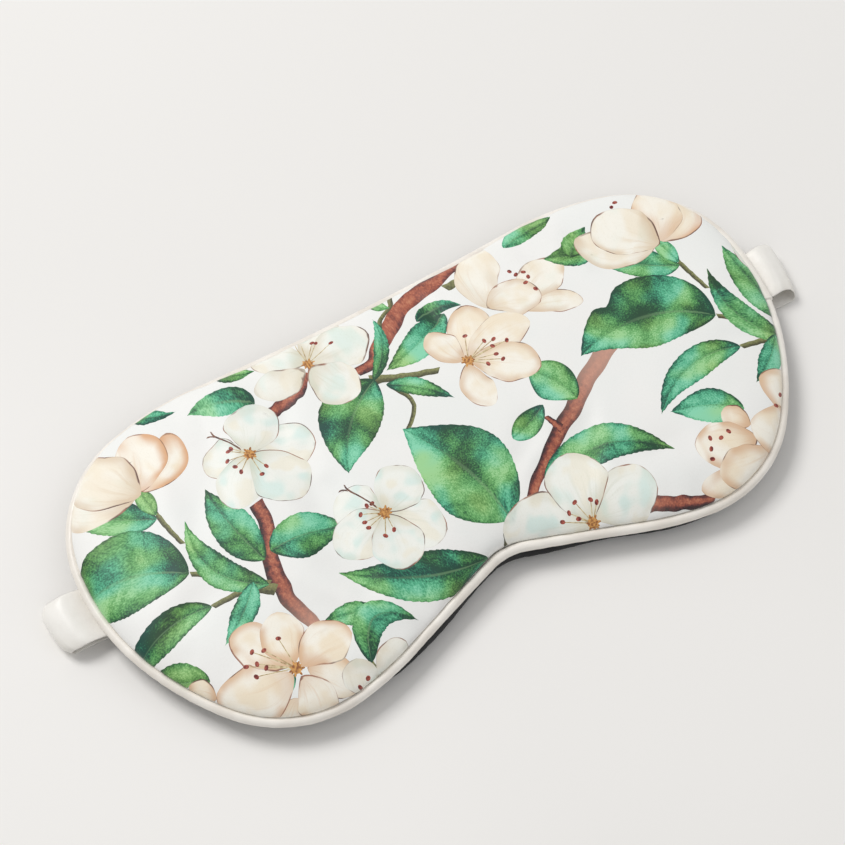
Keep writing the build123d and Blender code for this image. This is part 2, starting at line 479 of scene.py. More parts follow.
def motif(kind, spine, left, right, seed, tone):
    """Closed outline round the spine, with what the shading needs to find its place in it."""
    normal = left_of(spine)
    up = spine + normal * left[:, None]
    down = spine - normal * right[:, None]
    outline_points = np.vstack([up, down[-2:0:-1]])
    return {"kind": kind, "spine": spine, "normal": normal, "left": left, "right": right,
            "outline": outline_points, "seed": seed, "tone": tone}


def steps_for(base, tip, fine=FINE):
    """How many points a spine from base to tip takes."""
    return max(8, int(math.dist(base, tip) / fine))


def leaf(base, tip, bend, left, right, tone, seed):
    """Pointed leaf with small forward teeth, and a lobe on its right side if it is broad there."""
    count = steps_for(base, tip)
    s = np.linspace(0, 1, count)
    body = np.sin(math.pi * s ** 0.8) ** 0.85 * (1 - 0.25 * s ** 6)
    teeth = (s * math.dist(base, tip) / 1.9 + 0.3 * np.sin(seed + 9 * s)) % 1
    wave = 0.05 * np.sin(seed * 1.7 + 8 * s)
    depth = 0.28 * smoothstep(0.05, 0.2, s) * (1 - teeth)
    lobe = 0.26 * np.exp(-((s - 0.66) / 0.05) ** 2) * (right > 13)
    width_left = np.maximum(left * body * (1 + wave) - depth * (left > 2), THINNEST)
    width_right = np.maximum(right * body * (1 - wave - lobe) - depth * (right > 2), THINNEST)
    return motif("leaf", arc_spine(base, tip, bend, count), width_left, width_right, seed, tone)


def round_leaf(base, tip, bend, left, right, tone, seed):
    """Young leaf with a blunt end."""
    count = steps_for(base, tip)
    s = np.linspace(0, 1, count)
    body = np.sin(math.pi * s ** 1.15) ** 0.6
    spine = arc_spine(base, tip, bend, count)
    return motif("leaf", spine, left * body + THINNEST, right * body + THINNEST, seed, tone)


def petal(base, tip, bend, half, tone, seed):
    """Broad petal, narrow at its base, with a waved rim."""
    count = steps_for(base, tip, PETAL_FINE)
    s = np.linspace(0, 1, count) ** 0.9
    body = np.sin(math.pi * s ** 1.35) ** 0.58
    wave = 0.05 * np.sin(seed * 2.1 + 7 * s) + 0.025 * np.sin(seed + 17 * s)
    spine = arc_spine(base, tip, bend, count)
    width = half * body
    return motif("petal", spine, width * (1 + wave) + THINNEST, width * (1 - wave) + THINNEST, seed, tone)


def twig(path, widths, tone, seed, kind="branch"):
    """Branch or stem through the given points, with a width at each."""
    length = sum(math.dist(a, b) for a, b in zip(path, path[1:]))
    count = max(6, int(length / TWIG_FINE))
    spine = through(path, count)
    t = np.linspace(0, 1, count)
    width = np.interp(t, np.linspace(0, 1, len(widths)), widths) / 2
    knots = 1 + 0.09 * np.sin(seed + 23 * t) + 0.06 * np.sin(2.3 * seed + 41 * t)
    return motif(kind, spine, width * knots + 0.01, width * (2 - knots) + 0.01, seed, tone)


def dot(centre, length, width, angle, kind, seed, tone=0.5):
    """Small oval, such as the end of a stamen."""
    direction = np.array([math.cos(angle), math.sin(angle)]) * length / 2
    spine = arc_spine(np.array(centre) - direction, np.array(centre) + direction, 0, DOT_POINTS)
    s = np.linspace(-1, 1, DOT_POINTS)
    half = width / 2 * np.sqrt(np.maximum(1 - s ** 2, 0)) + 0.01
    return motif(kind, spine, half, half, seed, tone)


# a branch: its points, its width at even steps, and where it fades: 1 at its start, -1 at its end
BARK = [
    ([(-53, 9.5), (-53.2, 2), (-56.2, -4.5), (-58, -12.5), (-58, -19), (-56.4, -25.5), (-54.4, -30.5)],
     [4.2, 4, 4.2, 5, 4.4, 4, 3], -1.0),
    ([(-38, 30.6), (-32, 31.4), (-27, 33.4), (-22.4, 38.4)], [3.4, 4, 4.4, 3.6], 0.0),
    ([(-11, 30), (-5, 30.8), (-1, 34.3), (3.5, 38), (8.5, 41.7), (14, 44.8), (21, 46.2), (29, 48.3),
      (37, 51), (45, 55)],
     [3, 3.6, 4.8, 5.6, 5.6, 5.8, 6, 4.6, 4, 3.6], 0.0),
    ([(54, 3), (44, -2), (37.5, -6.8), (30, -11.3), (22, -17), (15, -22.3), (11, -26)],
     [5.2, 5, 4.8, 4.2, 3.8, 3, 2.2], 1.0),
    ([(29.5, -12.4), (28.2, -9.4), (27, -6.6)], [2.6, 1.8, 1.2], 0.0),
    ([(34, -38.5), (42, -41.5), (50, -45), (57, -47.4)], [3.8, 3.8, 3.4, 2.4], 0.4),
]
# a stem: its points and its width at even steps
STEMS = [
    ([(24, 42.4), (29.5, 42.6), (33.5, 46.5), (36.5, 50.5)], [2.4, 2, 2.2, 1.8]),
    ([(-77.2, 20), (-76.2, 14), (-74.8, 8)], [1.1, 1, 0.9]),
    ([(-77.4, 0), (-71, -4.4), (-66, -8.8), (-60.4, -13.5)], [1, 1.1, 1.3, 2]),
    ([(-76.5, -11), (-70, -11.2), (-64.5, -12.2), (-59.5, -15.5)], [1.1, 1.2, 1.6, 2.6]),
    ([(-5, 22.4), (-2.6, 17.8), (-1.8, 14.6), (-3.4, 11.2), (-7.6, 7.4)], [1.2, 1, 0.9, 0.9, 0.8]),
    ([(-9, 26.2), (-4, 24), (2, 21.6), (9.6, 19.2)], [2.2, 1.7, 1.5, 1.3]),
    ([(1.6, 39), (4, 43), (9, 46.6), (10.2, 50.5)], [0.9, 1, 1.1, 1.2]),
    ([(6.3, -25.2), (2.6, -28), (0.6, -34)], [1.2, 0.8, 1.6]),
    ([(-47.5, -36), (-47, -42), (-46.4, -49)], [0.9, 0.9, 1.1]),
]
# thin dark lines drawn over the flowers
LINES = [
    [(-48.8, 24.4), (-50.8, 28.4), (-53.2, 32.4), (-53.4, 34.6)],
    [(-53.2, 32.2), (-54.4, 33.2), (-55.4, 33.4)],
    [(-25, -8), (-27, -4), (-29.4, 0.4), (-29.6, 2.4)],
    [(-29.4, 0.2), (-30.8, 1.2), (-32, 1.4)],
]
# base, tip, bend to the left, left and right half widths, tone from dark (0) to light (1)
LEAVES = [
    ((-77.5, 18.5), (-97.5, 34.5), 1.5, 4.8, 5.2, 0.45),
    ((-77.4, 0), (-116.5, 6.8), -5.5, 9.4, 13.2, 0.4),
    ((-60.6, -13), (-71.4, 14.2), 6.2, 3.6, 5.2, 0.65),
    ((-58.4, -6.4), (-62.6, 19.9), 1, 6, 5.6, 0.35),
    ((-56, -5), (-34, -8), 1.4, 6.6, 6.4, 0.2),
    ((-76.3, -10.8), (-106.5, -18.8), -4.6, 4.8, 4.6, 0.3),
    ((-64, -10.4), (-78.2, -21.6), 1, 3.6, 3.2, 0.7),
    ((-85.4, -27), (-104, -19.2), -1, 5.4, 5, 0.5),
    ((-39, 35.6), (-56.2, 43), -2.2, 5.2, 5.6, 0.15),
    ((-70, 50.4), (-57.8, 46.6), 0, 2.2, 2.2, 0.2),
    ((-44, 51), (-33.5, 46.6), 0, 3, 3, 0.6),
    ((-7.5, 25.6), (-27, 4.4), -3, 8.4, 9.2, 0.4),
    ((-8, 25.4), (2.2, 44.8), -2.6, 2.4, 2.2, 0.6),
    ((-5.6, 22.6), (8.7, 10), 1.2, 2.8, 2.8, 0.3),
    ((5, -26.8), (-8.2, 8.8), -2, 12.6, 12.4, 0.75),
    ((-5, -32.4), (-43, -18.6), 3.6, 6.8, 6.2, 0.3),
    ((-39.6, -32), (-53.4, -28.8), -0.6, 3, 3.2, 0.6),
    ((-47, -43), (-30.3, -38.6), 7.6, 4.6, 4.2, 0.2),
    ((11.6, 36), (24.9, 34.2), 1.6, 3.8, 1.6, 0.25),
    ((19.6, 34.4), (-3.4, 26.4), 1, 5, 4.8, 0.5),
    ((45.2, 46), (63, 49.6), 0.4, 4, 3.6, 0.5),
    ((-96, 34), (-109.4, 38.6), 0.6, 4, 4, 0.4),
    ((-103, 35), (-92.6, 43.6), 0.6, 4, 3.6, 0.5),
    ((18.6, -22), (53.2, -31.6), 5.4, 6, 5.2, 0.15),
    ((4, 50.6), (8.4, 45.8), 0, 1.7, 1.7, 0.7),
    ((-66, -36.8), (-72.8, -41.8), 0, 1.2, 1.2, 0.05),
    ((-62.6, -37.4), (-57.2, -45.4), 0.5, 1.4, 1.3, 0.1),
    ((-79, -38.6), (-76, -46.4), 0, 2.4, 2.4, 0.2),
]
ROUND_LEAVES = [
    ((28.4, -3.6), (16.2, -8.2), 0.4, 3.6, 3.4, 0.3),
    ((37.4, -6.6), (30.4, 7.2), -1.2, 6.4, 5.6, 0.6),
    ((-77.2, 19.4), (-78.6, 29), 0, 2.5, 2.5, 0.85),
]
# a blossom: warmth, petals as (base, tip, bend, half width), stamen ends, and its heart or None
BLOSSOMS = [
    (1.0, [((-77.6, 27.8), (-63.6, 41), -3.4, 5.2), ((-78, 28), (-72.4, 46.6), -2, 7)], [], None),
    (0.55, [((-79.4, 27.6), (-97.5, 41), 2.5, 7.4), ((-78.2, 27.2), (-87.6, 45.6), 1.2, 8.8)],
     [(-82.4, 46), (-80.6, 47.1), (-78.6, 47.2), (-77, 46.4)], None),
    (0.3, [((-19.6, 40.4), (-33, 53), 0, 6), ((-19.4, 40.4), (-8, 53.4), 0, 6),
           ((-22, 38.8), (-37.4, 39.4), 1.2, 5.6), ((-19.6, 39.6), (-1.4, 39.8), 1, 8.2),
           ((-20.4, 38.8), (-12.6, 24.2), -1, 6.8)],
     [(-19.9, 49.4), (-18.3, 48.2), (-15.4, 47.4), (-14.6, 46.4), (-11.4, 43.3)], (-20.4, 40)),
    (0.12, [((-48, 22.8), (-59, 28.4), 1, 6), ((-48, 22.4), (-57.6, 9.6), -1, 6.2),
            ((-47.4, 22), (-30.2, 16.8), 0.6, 7.2), ((-47.6, 22), (-41.2, 4.6), 1, 8),
            ((-47.4, 22.8), (-41.4, 36.4), -1, 7.6)],
     [(-52.2, 26), (-51.2, 26.3), (-53.7, 23.6), (-52.7, 21), (-52, 18.9), (-47.4, 15.6), (-45.2, 17.2)],
     (-47.6, 22.4)),
    (0.1, [((-24.2, -9.8), (-33, 0.4), 1, 6.6), ((-24.2, -10.2), (-40, -15.4), -1, 6.8),
           ((-23.8, -10.4), (-11.6, -21.8), -0.6, 6.6), ((-24, -10.4), (-27.4, -25.8), 0.6, 7.2),
           ((-23.8, -9.8), (-11.2, -3.4), 0.6, 7)],
     [(-29.9, -7.4), (-29.8, -11.6), (-27.3, -6.1), (-25.8, -6.2), (-26.9, -15.6), (-24.1, -15.2),
      (-30, -9.8)], (-23.9, -10.1)),
    (0.6, [((39, 23.4), (54.4, 18), 1.6, 3.6), ((40.6, 25), (56, 31.4), 2.4, 6.2),
           ((31.4, 28.6), (40, 50.4), 2.4, 6.4), ((30.4, 29.4), (44, 23.6), 2.6, 6.2)],
     [(41.9, 36.9), (42.8, 35), (45, 34.6), (45.3, 32.5), (43.7, 31.2), (45, 28)], None),
    (0.7, [((17.4, 18.4), (24.6, 34), -1.6, 6.4), ((17, 18.6), (12.6, 31), 1, 4.6),
           ((18, 18), (38.4, 19.8), 1.8, 5.8), ((17.8, 17.4), (34, 6.4), 1, 6.2),
           ((17, 17.4), (17.6, 3), -1.6, 4.4)],
     [(20.6, 25), (24.4, 20.9), (26.9, 20.1), (25.6, 18.4), (29.9, 18), (25.2, 15.8), (21.7, 14.4),
      (26.1, 13.6)], (17.6, 18)),
    (0.8, [((-86, -31.4), (-92, -25.6), 0, 3.8), ((-86, -35), (-103, -30), 1, 6.2),
           ((-92, -43), (-107, -41), 0, 3.4), ((-83.5, -39), (-100.6, -39.4), 1.4, 5.8),
           ((-68, -42), (-76, -48.6), 0, 4.2), ((-62.6, -37), (-53.4, -47.6), 1, 4.8),
           ((-65, -38), (-66.4, -51), 1.6, 5.4),
           ((-66, -34.8), (-76.6, -20.6), -1, 6), ((-65.4, -34.8), (-62.4, -20.6), 0.6, 5.8),
           ((-63.6, -36), (-48, -34.4), 1.6, 5.8), ((-66.4, -36.4), (-85.4, -30.4), 3.2, 7.4)],
     [(-73, -26.6), (-76, -29), (-73.3, -29.9), (-70.2, -27.8), (-74.9, -32.5), (-71.7, -31.9),
      (-65.5, -26.9), (-98.4, -30.4), (-95.6, -31.5), (-92.8, -30.8), (-99.6, -33), (-100.6, -35.4)],
     (-65, -35.8)),
    (0.35, [((-46.4, -48.6), (-36, -41.6), 1, 4), ((-52.6, -49.4), (-50.2, -40.4), 0, 4.8)],
     [(-52.6, -46.9), (-49.6, -45.8)], None),
    (0.18, [((24.4, -37), (1.6, -28.2), 0.4, 8.8), ((25.6, -37), (44, -38.4), 1.6, 8),
            ((25, -36.6), (27.2, -18.6), 0.6, 8.4)],
     [(17.2, -33.4), (19.9, -32.4), (22.6, -30.9), (26.75, -32.3), (27.9, -33.6), (21.6, -34.8)],
     (24.6, -37.4)),
]


# The motifs' places are those that a viewer in front of the mask sees on an even dome. They are moved
# to where the same spot of cloth lies when the panel is flat.
VIEW_ELEVATION = math.radians(65)
VIEW_AZIMUTH = math.radians(330.5)
AWAY = np.array([-math.sin(VIEW_AZIMUTH), math.cos(VIEW_AZIMUTH)]) / math.tan(VIEW_ELEVATION)
DOME_RISE = 7.5
DOME_REACH = 30
DOME_FULLNESS = 2.8
LAY_ROUNDS = 12
LAY_SHARE = 0.6


def seen_outwards(distance, normal):
    """How far outside the seam that viewer sees the cloth cut at distance."""
    inward, height = front_profile(distance, normal)
    return (height + FLANGE_TOP + CLOTH - SEAM_Z) * (normal @ AWAY) - inward


def lay_flat(points):
    """Flat places of the cloth that is seen at these points, found by small steps."""
    distance, _, _ = from_seam(points)
    even = DOME_RISE * (1 - (1 - np.clip(distance / DOME_REACH, 0, 1)) ** DOME_FULLNESS)
    goal = points + even[:, None] * AWAY
    flat = points.copy()
    trials = np.arange(0, 9, 0.5)
    for _ in range(LAY_ROUNDS):
        distance, normal, _ = from_seam(flat)
        seen = np.array([seen_outwards(np.full(len(flat), d), normal) for d in trials])
        skyline = trials[seen.argmax(axis=0)]
        hidden = np.maximum(skyline - distance, 0)
        moved, height, _, _ = front_shape(flat - normal * hidden[:, None])
        moved += normal * hidden[:, None]
        flat += LAY_SHARE * (goal - moved - (height + FLANGE_TOP + CLOTH - SEAM_Z)[:, None] * AWAY)
    return flat


def flower(number, warmth, petals, stamens, heart):
    """Petals, filaments, heart and anthers of one blossom, from the lowest to the topmost."""
    drawn = [petal(*place, warmth, 10 * number + 3.1 * k + 0.4) for k, place in enumerate(petals)]
    if heart:
        for k, end in enumerate(stamens):
            if math.dist(heart, end) < LONGEST_FILAMENT:
                drawn.append(twig([heart, end], [0.28, 0.2], 0.5, k + 0.5, kind="filament"))
        for k in range(HEART_DOTS):
            angle = 2.4 * k + number
            far = 1.15 + 0.35 * math.sin(2.1 * k)
            reach = (heart[0] + far * math.cos(angle), heart[1] + far * math.sin(angle))
            drawn.append(dot(reach, 1.5, 0.6, angle, "heart", k))
        drawn.append(dot(heart, 3.0, 2.5, number, "heart", number))
    for k, end in enumerate(stamens):
        drawn.append(dot(end, 1.55, 1.05, 1.9 * k + number, "anther", k + number))
    return drawn


def draw_print():
    """All motifs, from the lowest to the topmost, on the flat cloth."""
    drawn = []
    for seed, (path, widths, fade) in enumerate(BARK):
        drawn.append(twig(path, widths, fade, seed + 1.3))
    for seed, (path, widths) in enumerate(STEMS):
        drawn.append(twig(path, [STEM_WEIGHT * w for w in widths], 0.0, seed + 2.7, kind="stem"))
    for seed, place in enumerate(LEAVES):
        drawn.append(leaf(*place, seed + 0.9))
    for seed, place in enumerate(ROUND_LEAVES):
        drawn.append(round_leaf(*place, seed + 40.3))
    for number, blossom in enumerate(BLOSSOMS):
        drawn += flower(number, *blossom)
    for seed, path in enumerate(LINES):
        drawn.append(twig(path, [0.5, 0.36, 0.5, 0.3], 0.0, seed + 5.1, kind="line"))
    repeated = [{**m, "spine": m["spine"] + REPEAT, "outline": m["outline"] + REPEAT} for m in drawn]
    shown = [m for m in drawn + repeated if reaches_mask(m)]
    laid = lay_flat(np.vstack([np.vstack([m["spine"], m["outline"]]) for m in shown]))
    start = 0
    for m in shown:
        middle = start + len(m["spine"])
        end = middle + len(m["outline"])
        m["spine"], m["outline"] = laid[start:middle], laid[middle:end]
        m["normal"] = left_of(m["spine"])
        start = end
    return [m for m in shown if reaches_mask(m)]


def reaches_mask(m):
    """Whether any of a motif lies on the mask."""
    distance, _, _ = from_seam(m["outline"])
    return distance.max() > 0.1


def inside(polygon, points):
    """Whether each point is inside the polygon, by counting crossings."""
    a = polygon
    b = np.roll(polygon, -1, axis=0)
    x, y = points[:, 0][:, None], points[:, 1][:, None]
    spans = (a[None, :, 1] > y) != (b[None, :, 1] > y)
    rise = np.where(b[:, 1] == a[:, 1], 1e-12, b[:, 1] - a[:, 1])
    cross = a[None, :, 0] + (y - a[None, :, 1]) * ((b - a)[:, 0] / rise)[None]
    return (spans & (x < cross)).sum(axis=1) % 2 == 1


def place_in(m, points):
    """Along the spine (0 to 1), across it (-1 to 1) and the distance in from the outline, in mm."""
    gap = ((points[:, None] - m["spine"][None]) ** 2).sum(axis=2)
    nearest = gap.argmin(axis=1)
    normal = m["normal"][nearest]
    offset = points - m["spine"][nearest]
    across = (offset * normal).sum(axis=1)
    step = np.hypot(*np.diff(m["spine"], axis=0).T).mean()
    ahead = (offset[:, 0] * normal[:, 1] - offset[:, 1] * normal[:, 0]) / step
    width = np.where(across > 0, m["left"][nearest], m["right"][nearest])
    a = m["outline"]
    side = np.roll(a, -1, axis=0) - a
    t = ((points[:, None] - a[None]) * side[None]).sum(axis=2) / ((side ** 2).sum(axis=1) + 1e-12)[None]
    foot = a[None] + np.clip(t, 0, 1)[:, :, None] * side[None]
    edge = np.sqrt(((points[:, None] - foot) ** 2).sum(axis=2)).min(axis=1)
    along = (nearest + np.clip(ahead, -0.5, 0.5)) / (len(m["spine"]) - 1)
    return np.column_stack([along, np.clip(across / np.maximum(width, 0.05), -1.2, 1.2), edge])


PRINT_SEAM_STEP = 0.8
PRINT_GRID = 1.25
CLEAR_OF_LINES = 0.45
KINDS = ["ground", "branch", "stem", "leaf", "petal", "filament", "heart", "anther", "line"]


def printed_panel():
    """The front panel, cut along every motif so that each face belongs to one."""
    motifs = draw_print()
    seam, _ = outline(PANEL_INSET, PRINT_SEAM_STEP)
    points = [seam]
    loops = [list(range(len(seam)))]
    total = len(seam)
    for m in motifs:
        points.append(m["outline"])
        loops.append(list(range(total, total + len(m["outline"]))))
        total += len(m["outline"])
    lines = np.vstack(points)
    tree = search_tree(lines)
    grid = [p for p in grid_inside(PRINT_GRID, 0.5) if tree.find((*p, 0))[2] > CLEAR_OF_LINES]
    flat, faces = triangulate(np.vstack([lines, grid]), loops)
    middle = flat[faces].mean(axis=1)
    owner = np.full(len(faces), -1)
    for number, m in enumerate(motifs):
        low, high = m["outline"].min(axis=0), m["outline"].max(axis=0)
        near = np.where(((middle > low) & (middle < high)).all(axis=1))[0]
        if len(near):
            owner[near[inside(m["outline"], middle[near])]] = number
    thing = shell("printed_panel", flat, faces, front_surface, front_lining)
    mesh = thing.data
    place = np.zeros((len(mesh.loops), 3))
    ink = np.zeros((len(mesh.loops), 3))
    slots = np.zeros(len(mesh.polygons), int)
    for number, m in enumerate(motifs):
        own = np.where(owner == number)[0]
        if not len(own):
            continue
        corners = (own[:, None] * 3 + np.arange(3)).ravel()
        place[corners] = place_in(m, flat[faces[own].ravel()])
        length = np.hypot(*(m["spine"][0] - m["spine"][-1]))
        ink[corners] = (m["seed"] % 50, m["tone"], length)
        slots[own] = KINDS.index(m["kind"])
    slots[len(faces):] = len(KINDS)
    mesh.polygons.foreach_set("material_index", slots)
    mesh.attributes.new("place", "FLOAT_VECTOR", "CORNER").data.foreach_set("vector", place.ravel())
    mesh.attributes.new("ink", "FLOAT_VECTOR", "CORNER").data.foreach_set("vector", ink.ravel())
    return thing


def front_lining(points):
    """The inner face of the printed panel."""
    distance, normal, _ = from_seam(points)
    tuck = 0.4 * smoothstep(0, 1.5, distance) * (1 - smoothstep(8, 14, distance))
    inner = front_surface(points)
    inner[:, 2] -= CLOTH
    inner[:, :2] -= normal * tuck[:, None]
    return inner


# ---- materials -----------------------------------------------------------------------------------
def srgb(red, green, blue):
    """Colour from sRGB values of 0 to 255."""
    def linear(value):
        value /= 255
        return value / 12.92 if value <= 0.04045 else ((value + 0.055) / 1.055) ** 2.4
    return (linear(red), linear(green), linear(blue), 1.0)


class Shade:
    """A node material under construction."""

    def __init__(self, name, roughness=0.5, specular=0.5, sheen=0.0, anisotropic=0.0, subsurface=0.0):
        self.material = bpy.data.materials.new(name)
        self.material.use_nodes = True
        self.tree = self.material.node_tree
        self.shader = self.tree.nodes["Principled BSDF"]
        self.shader.inputs["Roughness"].default_value = roughness
        self.shader.inputs["Specular IOR Level"].default_value = specular
        self.shader.inputs["Sheen Weight"].default_value = sheen
        self.shader.inputs["Sheen Roughness"].default_value = 0.4
        self.shader.inputs["Anisotropic"].default_value = anisotropic
        self.shader.inputs["Subsurface Weight"].default_value = subsurface
        self.shader.inputs["Subsurface Scale"].default_value = 0.002
        self.shader.inputs["Subsurface Radius"].default_value = (1, 1, 1)

    def node(self, kind, inputs, **settings):
        made = self.tree.nodes.new(kind)
        for key, value in settings.items():
            setattr(made, key, value)
        for key, value in inputs.items():
            if isinstance(value, bpy.types.NodeSocket):
                self.tree.links.new(value, made.inputs[key])
            else:
                made.inputs[key].default_value = value
        return made

    def attribute(self, name):
        return self.node("ShaderNodeAttribute", {}, attribute_name=name).outputs["Vector"]

    def object_place(self):
        return self.node("ShaderNodeTexCoord", {}).outputs["Object"]

    def split(self, vector):
        return self.node("ShaderNodeSeparateXYZ", {0: vector}).outputs

    def join(self, x, y, z):
        return self.node("ShaderNodeCombineXYZ", {0: x, 1: y, 2: z}).outputs[0]

    def math(self, operation, a, b=0.0, c=0.0):
        return self.node("ShaderNodeMath", {0: a, 1: b, 2: c}, operation=operation).outputs[0]

    def ramp(self, value, low, high, to_low=0.0, to_high=1.0):
        inputs = {0: value, 1: low, 2: high, 3: to_low, 4: to_high}
        return self.node("ShaderNodeMapRange", inputs, interpolation_type="SMOOTHSTEP").outputs[0]

    def noise(self, vector, scale, detail=2.0, seed=0.0, roughness=0.5):
        inputs = {"Vector": vector, "Scale": scale, "Detail": detail, "Roughness": roughness, "W": seed}
        return self.node("ShaderNodeTexNoise", inputs, noise_dimensions="4D").outputs[0]

    def mix(self, factor, a, b):
        made = self.node("ShaderNodeMix", {0: factor, 6: a, 7: b}, data_type="RGBA")
        return made.outputs[2]

    def steps(self, value, stops):
        """Colour ramp from (place, (r, g, b)) stops in sRGB."""
        made = self.node("ShaderNodeValToRGB", {0: value})
        ramp = made.color_ramp
        while len(ramp.elements) < len(stops):
            ramp.elements.new(1.0)
        for element, (place, colour) in zip(ramp.elements, stops):
            element.position = place
            element.color = srgb(*colour)
        return made.outputs[0]

    def bump(self, height, distance):
        made = self.node("ShaderNodeBump", {"Height": height, "Distance": distance, "Strength": 1.0})
        return made.outputs[0]

    def done(self, colour, height=None, depth=0.00002, roughness=None):
        self.tree.links.new(colour, self.shader.inputs["Base Color"])
        if height is not None:
            self.tree.links.new(self.bump(height, depth), self.shader.inputs["Normal"])
        if roughness is not None:
            self.tree.links.new(roughness, self.shader.inputs["Roughness"])
        return self.material


def satin_height(s, cloth, pitch=0.28):
    """Long floats of a satin weave: fine ribs broken up by noise."""
    x, y, _ = s.split(cloth)
    rib = s.math("SINE", s.math("MULTIPLY", y, 2 * math.pi / pitch))
    floats = s.noise(s.join(s.math("MULTIPLY", x, 0.5), s.math("MULTIPLY", y, 2.2), 0.0), 1.5, 2)
    soft = s.noise(cloth, 0.22, 3)
    return s.math("ADD", s.math("MULTIPLY_ADD", rib, 0.12, floats), s.math("MULTIPLY", soft, 1.6))


PRINTED = {"roughness": 0.5, "specular": 0.35, "sheen": 0.12}


def ground_material():
    """White satin where nothing is printed."""
    s = Shade("print_ground", **PRINTED)
    cloth = s.attribute("cloth")
    tint = s.ramp(s.noise(cloth, 0.05, 3), 0.35, 0.65)
    colour = s.mix(tint, srgb(241, 240, 237), srgb(238, 239, 236))
    grain = s.ramp(s.noise(cloth, 2.4, 2), 0.45, 0.75, 0.0, 0.1)
    return s.done(s.mix(grain, colour, srgb(214, 212, 206)), satin_height(s, cloth))


def leaf_material():
    """Green, teal and olive washes with veins, darker at the rim, the base and the tip."""
    s = Shade("print_leaf", **PRINTED)
    cloth = s.attribute("cloth")
    along, across, edge = s.split(s.attribute("place"))
    seed, tone, length = s.split(s.attribute("ink"))
    side = s.math("ABSOLUTE", across)
    patch = s.noise(cloth, 0.09, 0, seed)
    hue = s.noise(cloth, 0.085, 1, s.math("ADD", seed, 31.0))
    grain = s.noise(cloth, 2.6, 1, 3.0)
    blot = s.noise(cloth, 1.1, 2, 17.0)
    wobble = s.noise(cloth, 0.3, 1, 7.0)
    count = s.math("MULTIPLY", length, 0.19)
    vein_place = s.math("MULTIPLY_ADD", along, count, s.math("MULTIPLY_ADD", side, -0.8, wobble))
    vein = s.math("PINGPONG", vein_place, 0.5)
    swell = s.ramp(vein, 0.0, 0.4, -0.1, 0.07)
    swell = s.math("MULTIPLY", swell, s.ramp(side, 0.03, 0.3))
    lit = s.ramp(across, -0.1, 0.12, -0.12, 0.16)
    crown = s.math("MULTIPLY", s.ramp(side, 0.05, 0.4), s.ramp(side, 0.55, 1.0, 1.0, 0.0))
    rim = s.ramp(edge, 0.05, 0.9, 0.22, 0.0)
    base = s.ramp(along, 0.0, 0.3, 0.28, 0.0)
    tip = s.ramp(along, 0.75, 1.0, 0.0, 0.14)
    rib = s.ramp(side, 0.015, 0.06, 1.0, 0.0)
    light = s.math("MULTIPLY_ADD", tone, 0.3, 0.27)
    terms = ((patch, 1.65, 0.5), (crown, 0.2, 0.0), (grain, 1.15, 0.5), (blot, 0.35, 0.5), (rim, -1.0, 0.0),
             (base, -1.0, 0.0), (tip, -1.0, 0.0), (lit, 1.0, 0.0), (swell, 1.0, 0.0), (rib, -0.12, 0.0))
    for term, gain, middle in terms:
        light = s.math("MULTIPLY_ADD", s.math("SUBTRACT", term, middle), gain, light)
    green = s.steps(light, [(0.0, (34, 74, 52)), (0.2, (52, 106, 66)), (0.42, (84, 148, 84)),
                            (0.7, (118, 184, 114)), (1.0, (158, 212, 150))])
    teal = s.steps(light, [(0.0, (30, 76, 66)), (0.25, (50, 124, 96)), (0.55, (86, 178, 138)),
                           (1.0, (138, 214, 178))])
    olive = s.steps(light, [(0.0, (48, 72, 42)), (0.5, (108, 148, 72)), (1.0, (166, 202, 118))])
    colour = s.mix(s.ramp(hue, 0.46, 0.62), green, teal)
    colour = s.mix(s.ramp(hue, 0.34, 0.46, 0.55, 0.0), colour, olive)
    pale = s.math("MULTIPLY", rib, s.ramp(along, 0.15, 0.8, 0.3, 0.08))
    return s.done(s.mix(pale, colour, srgb(156, 200, 144)), satin_height(s, cloth))


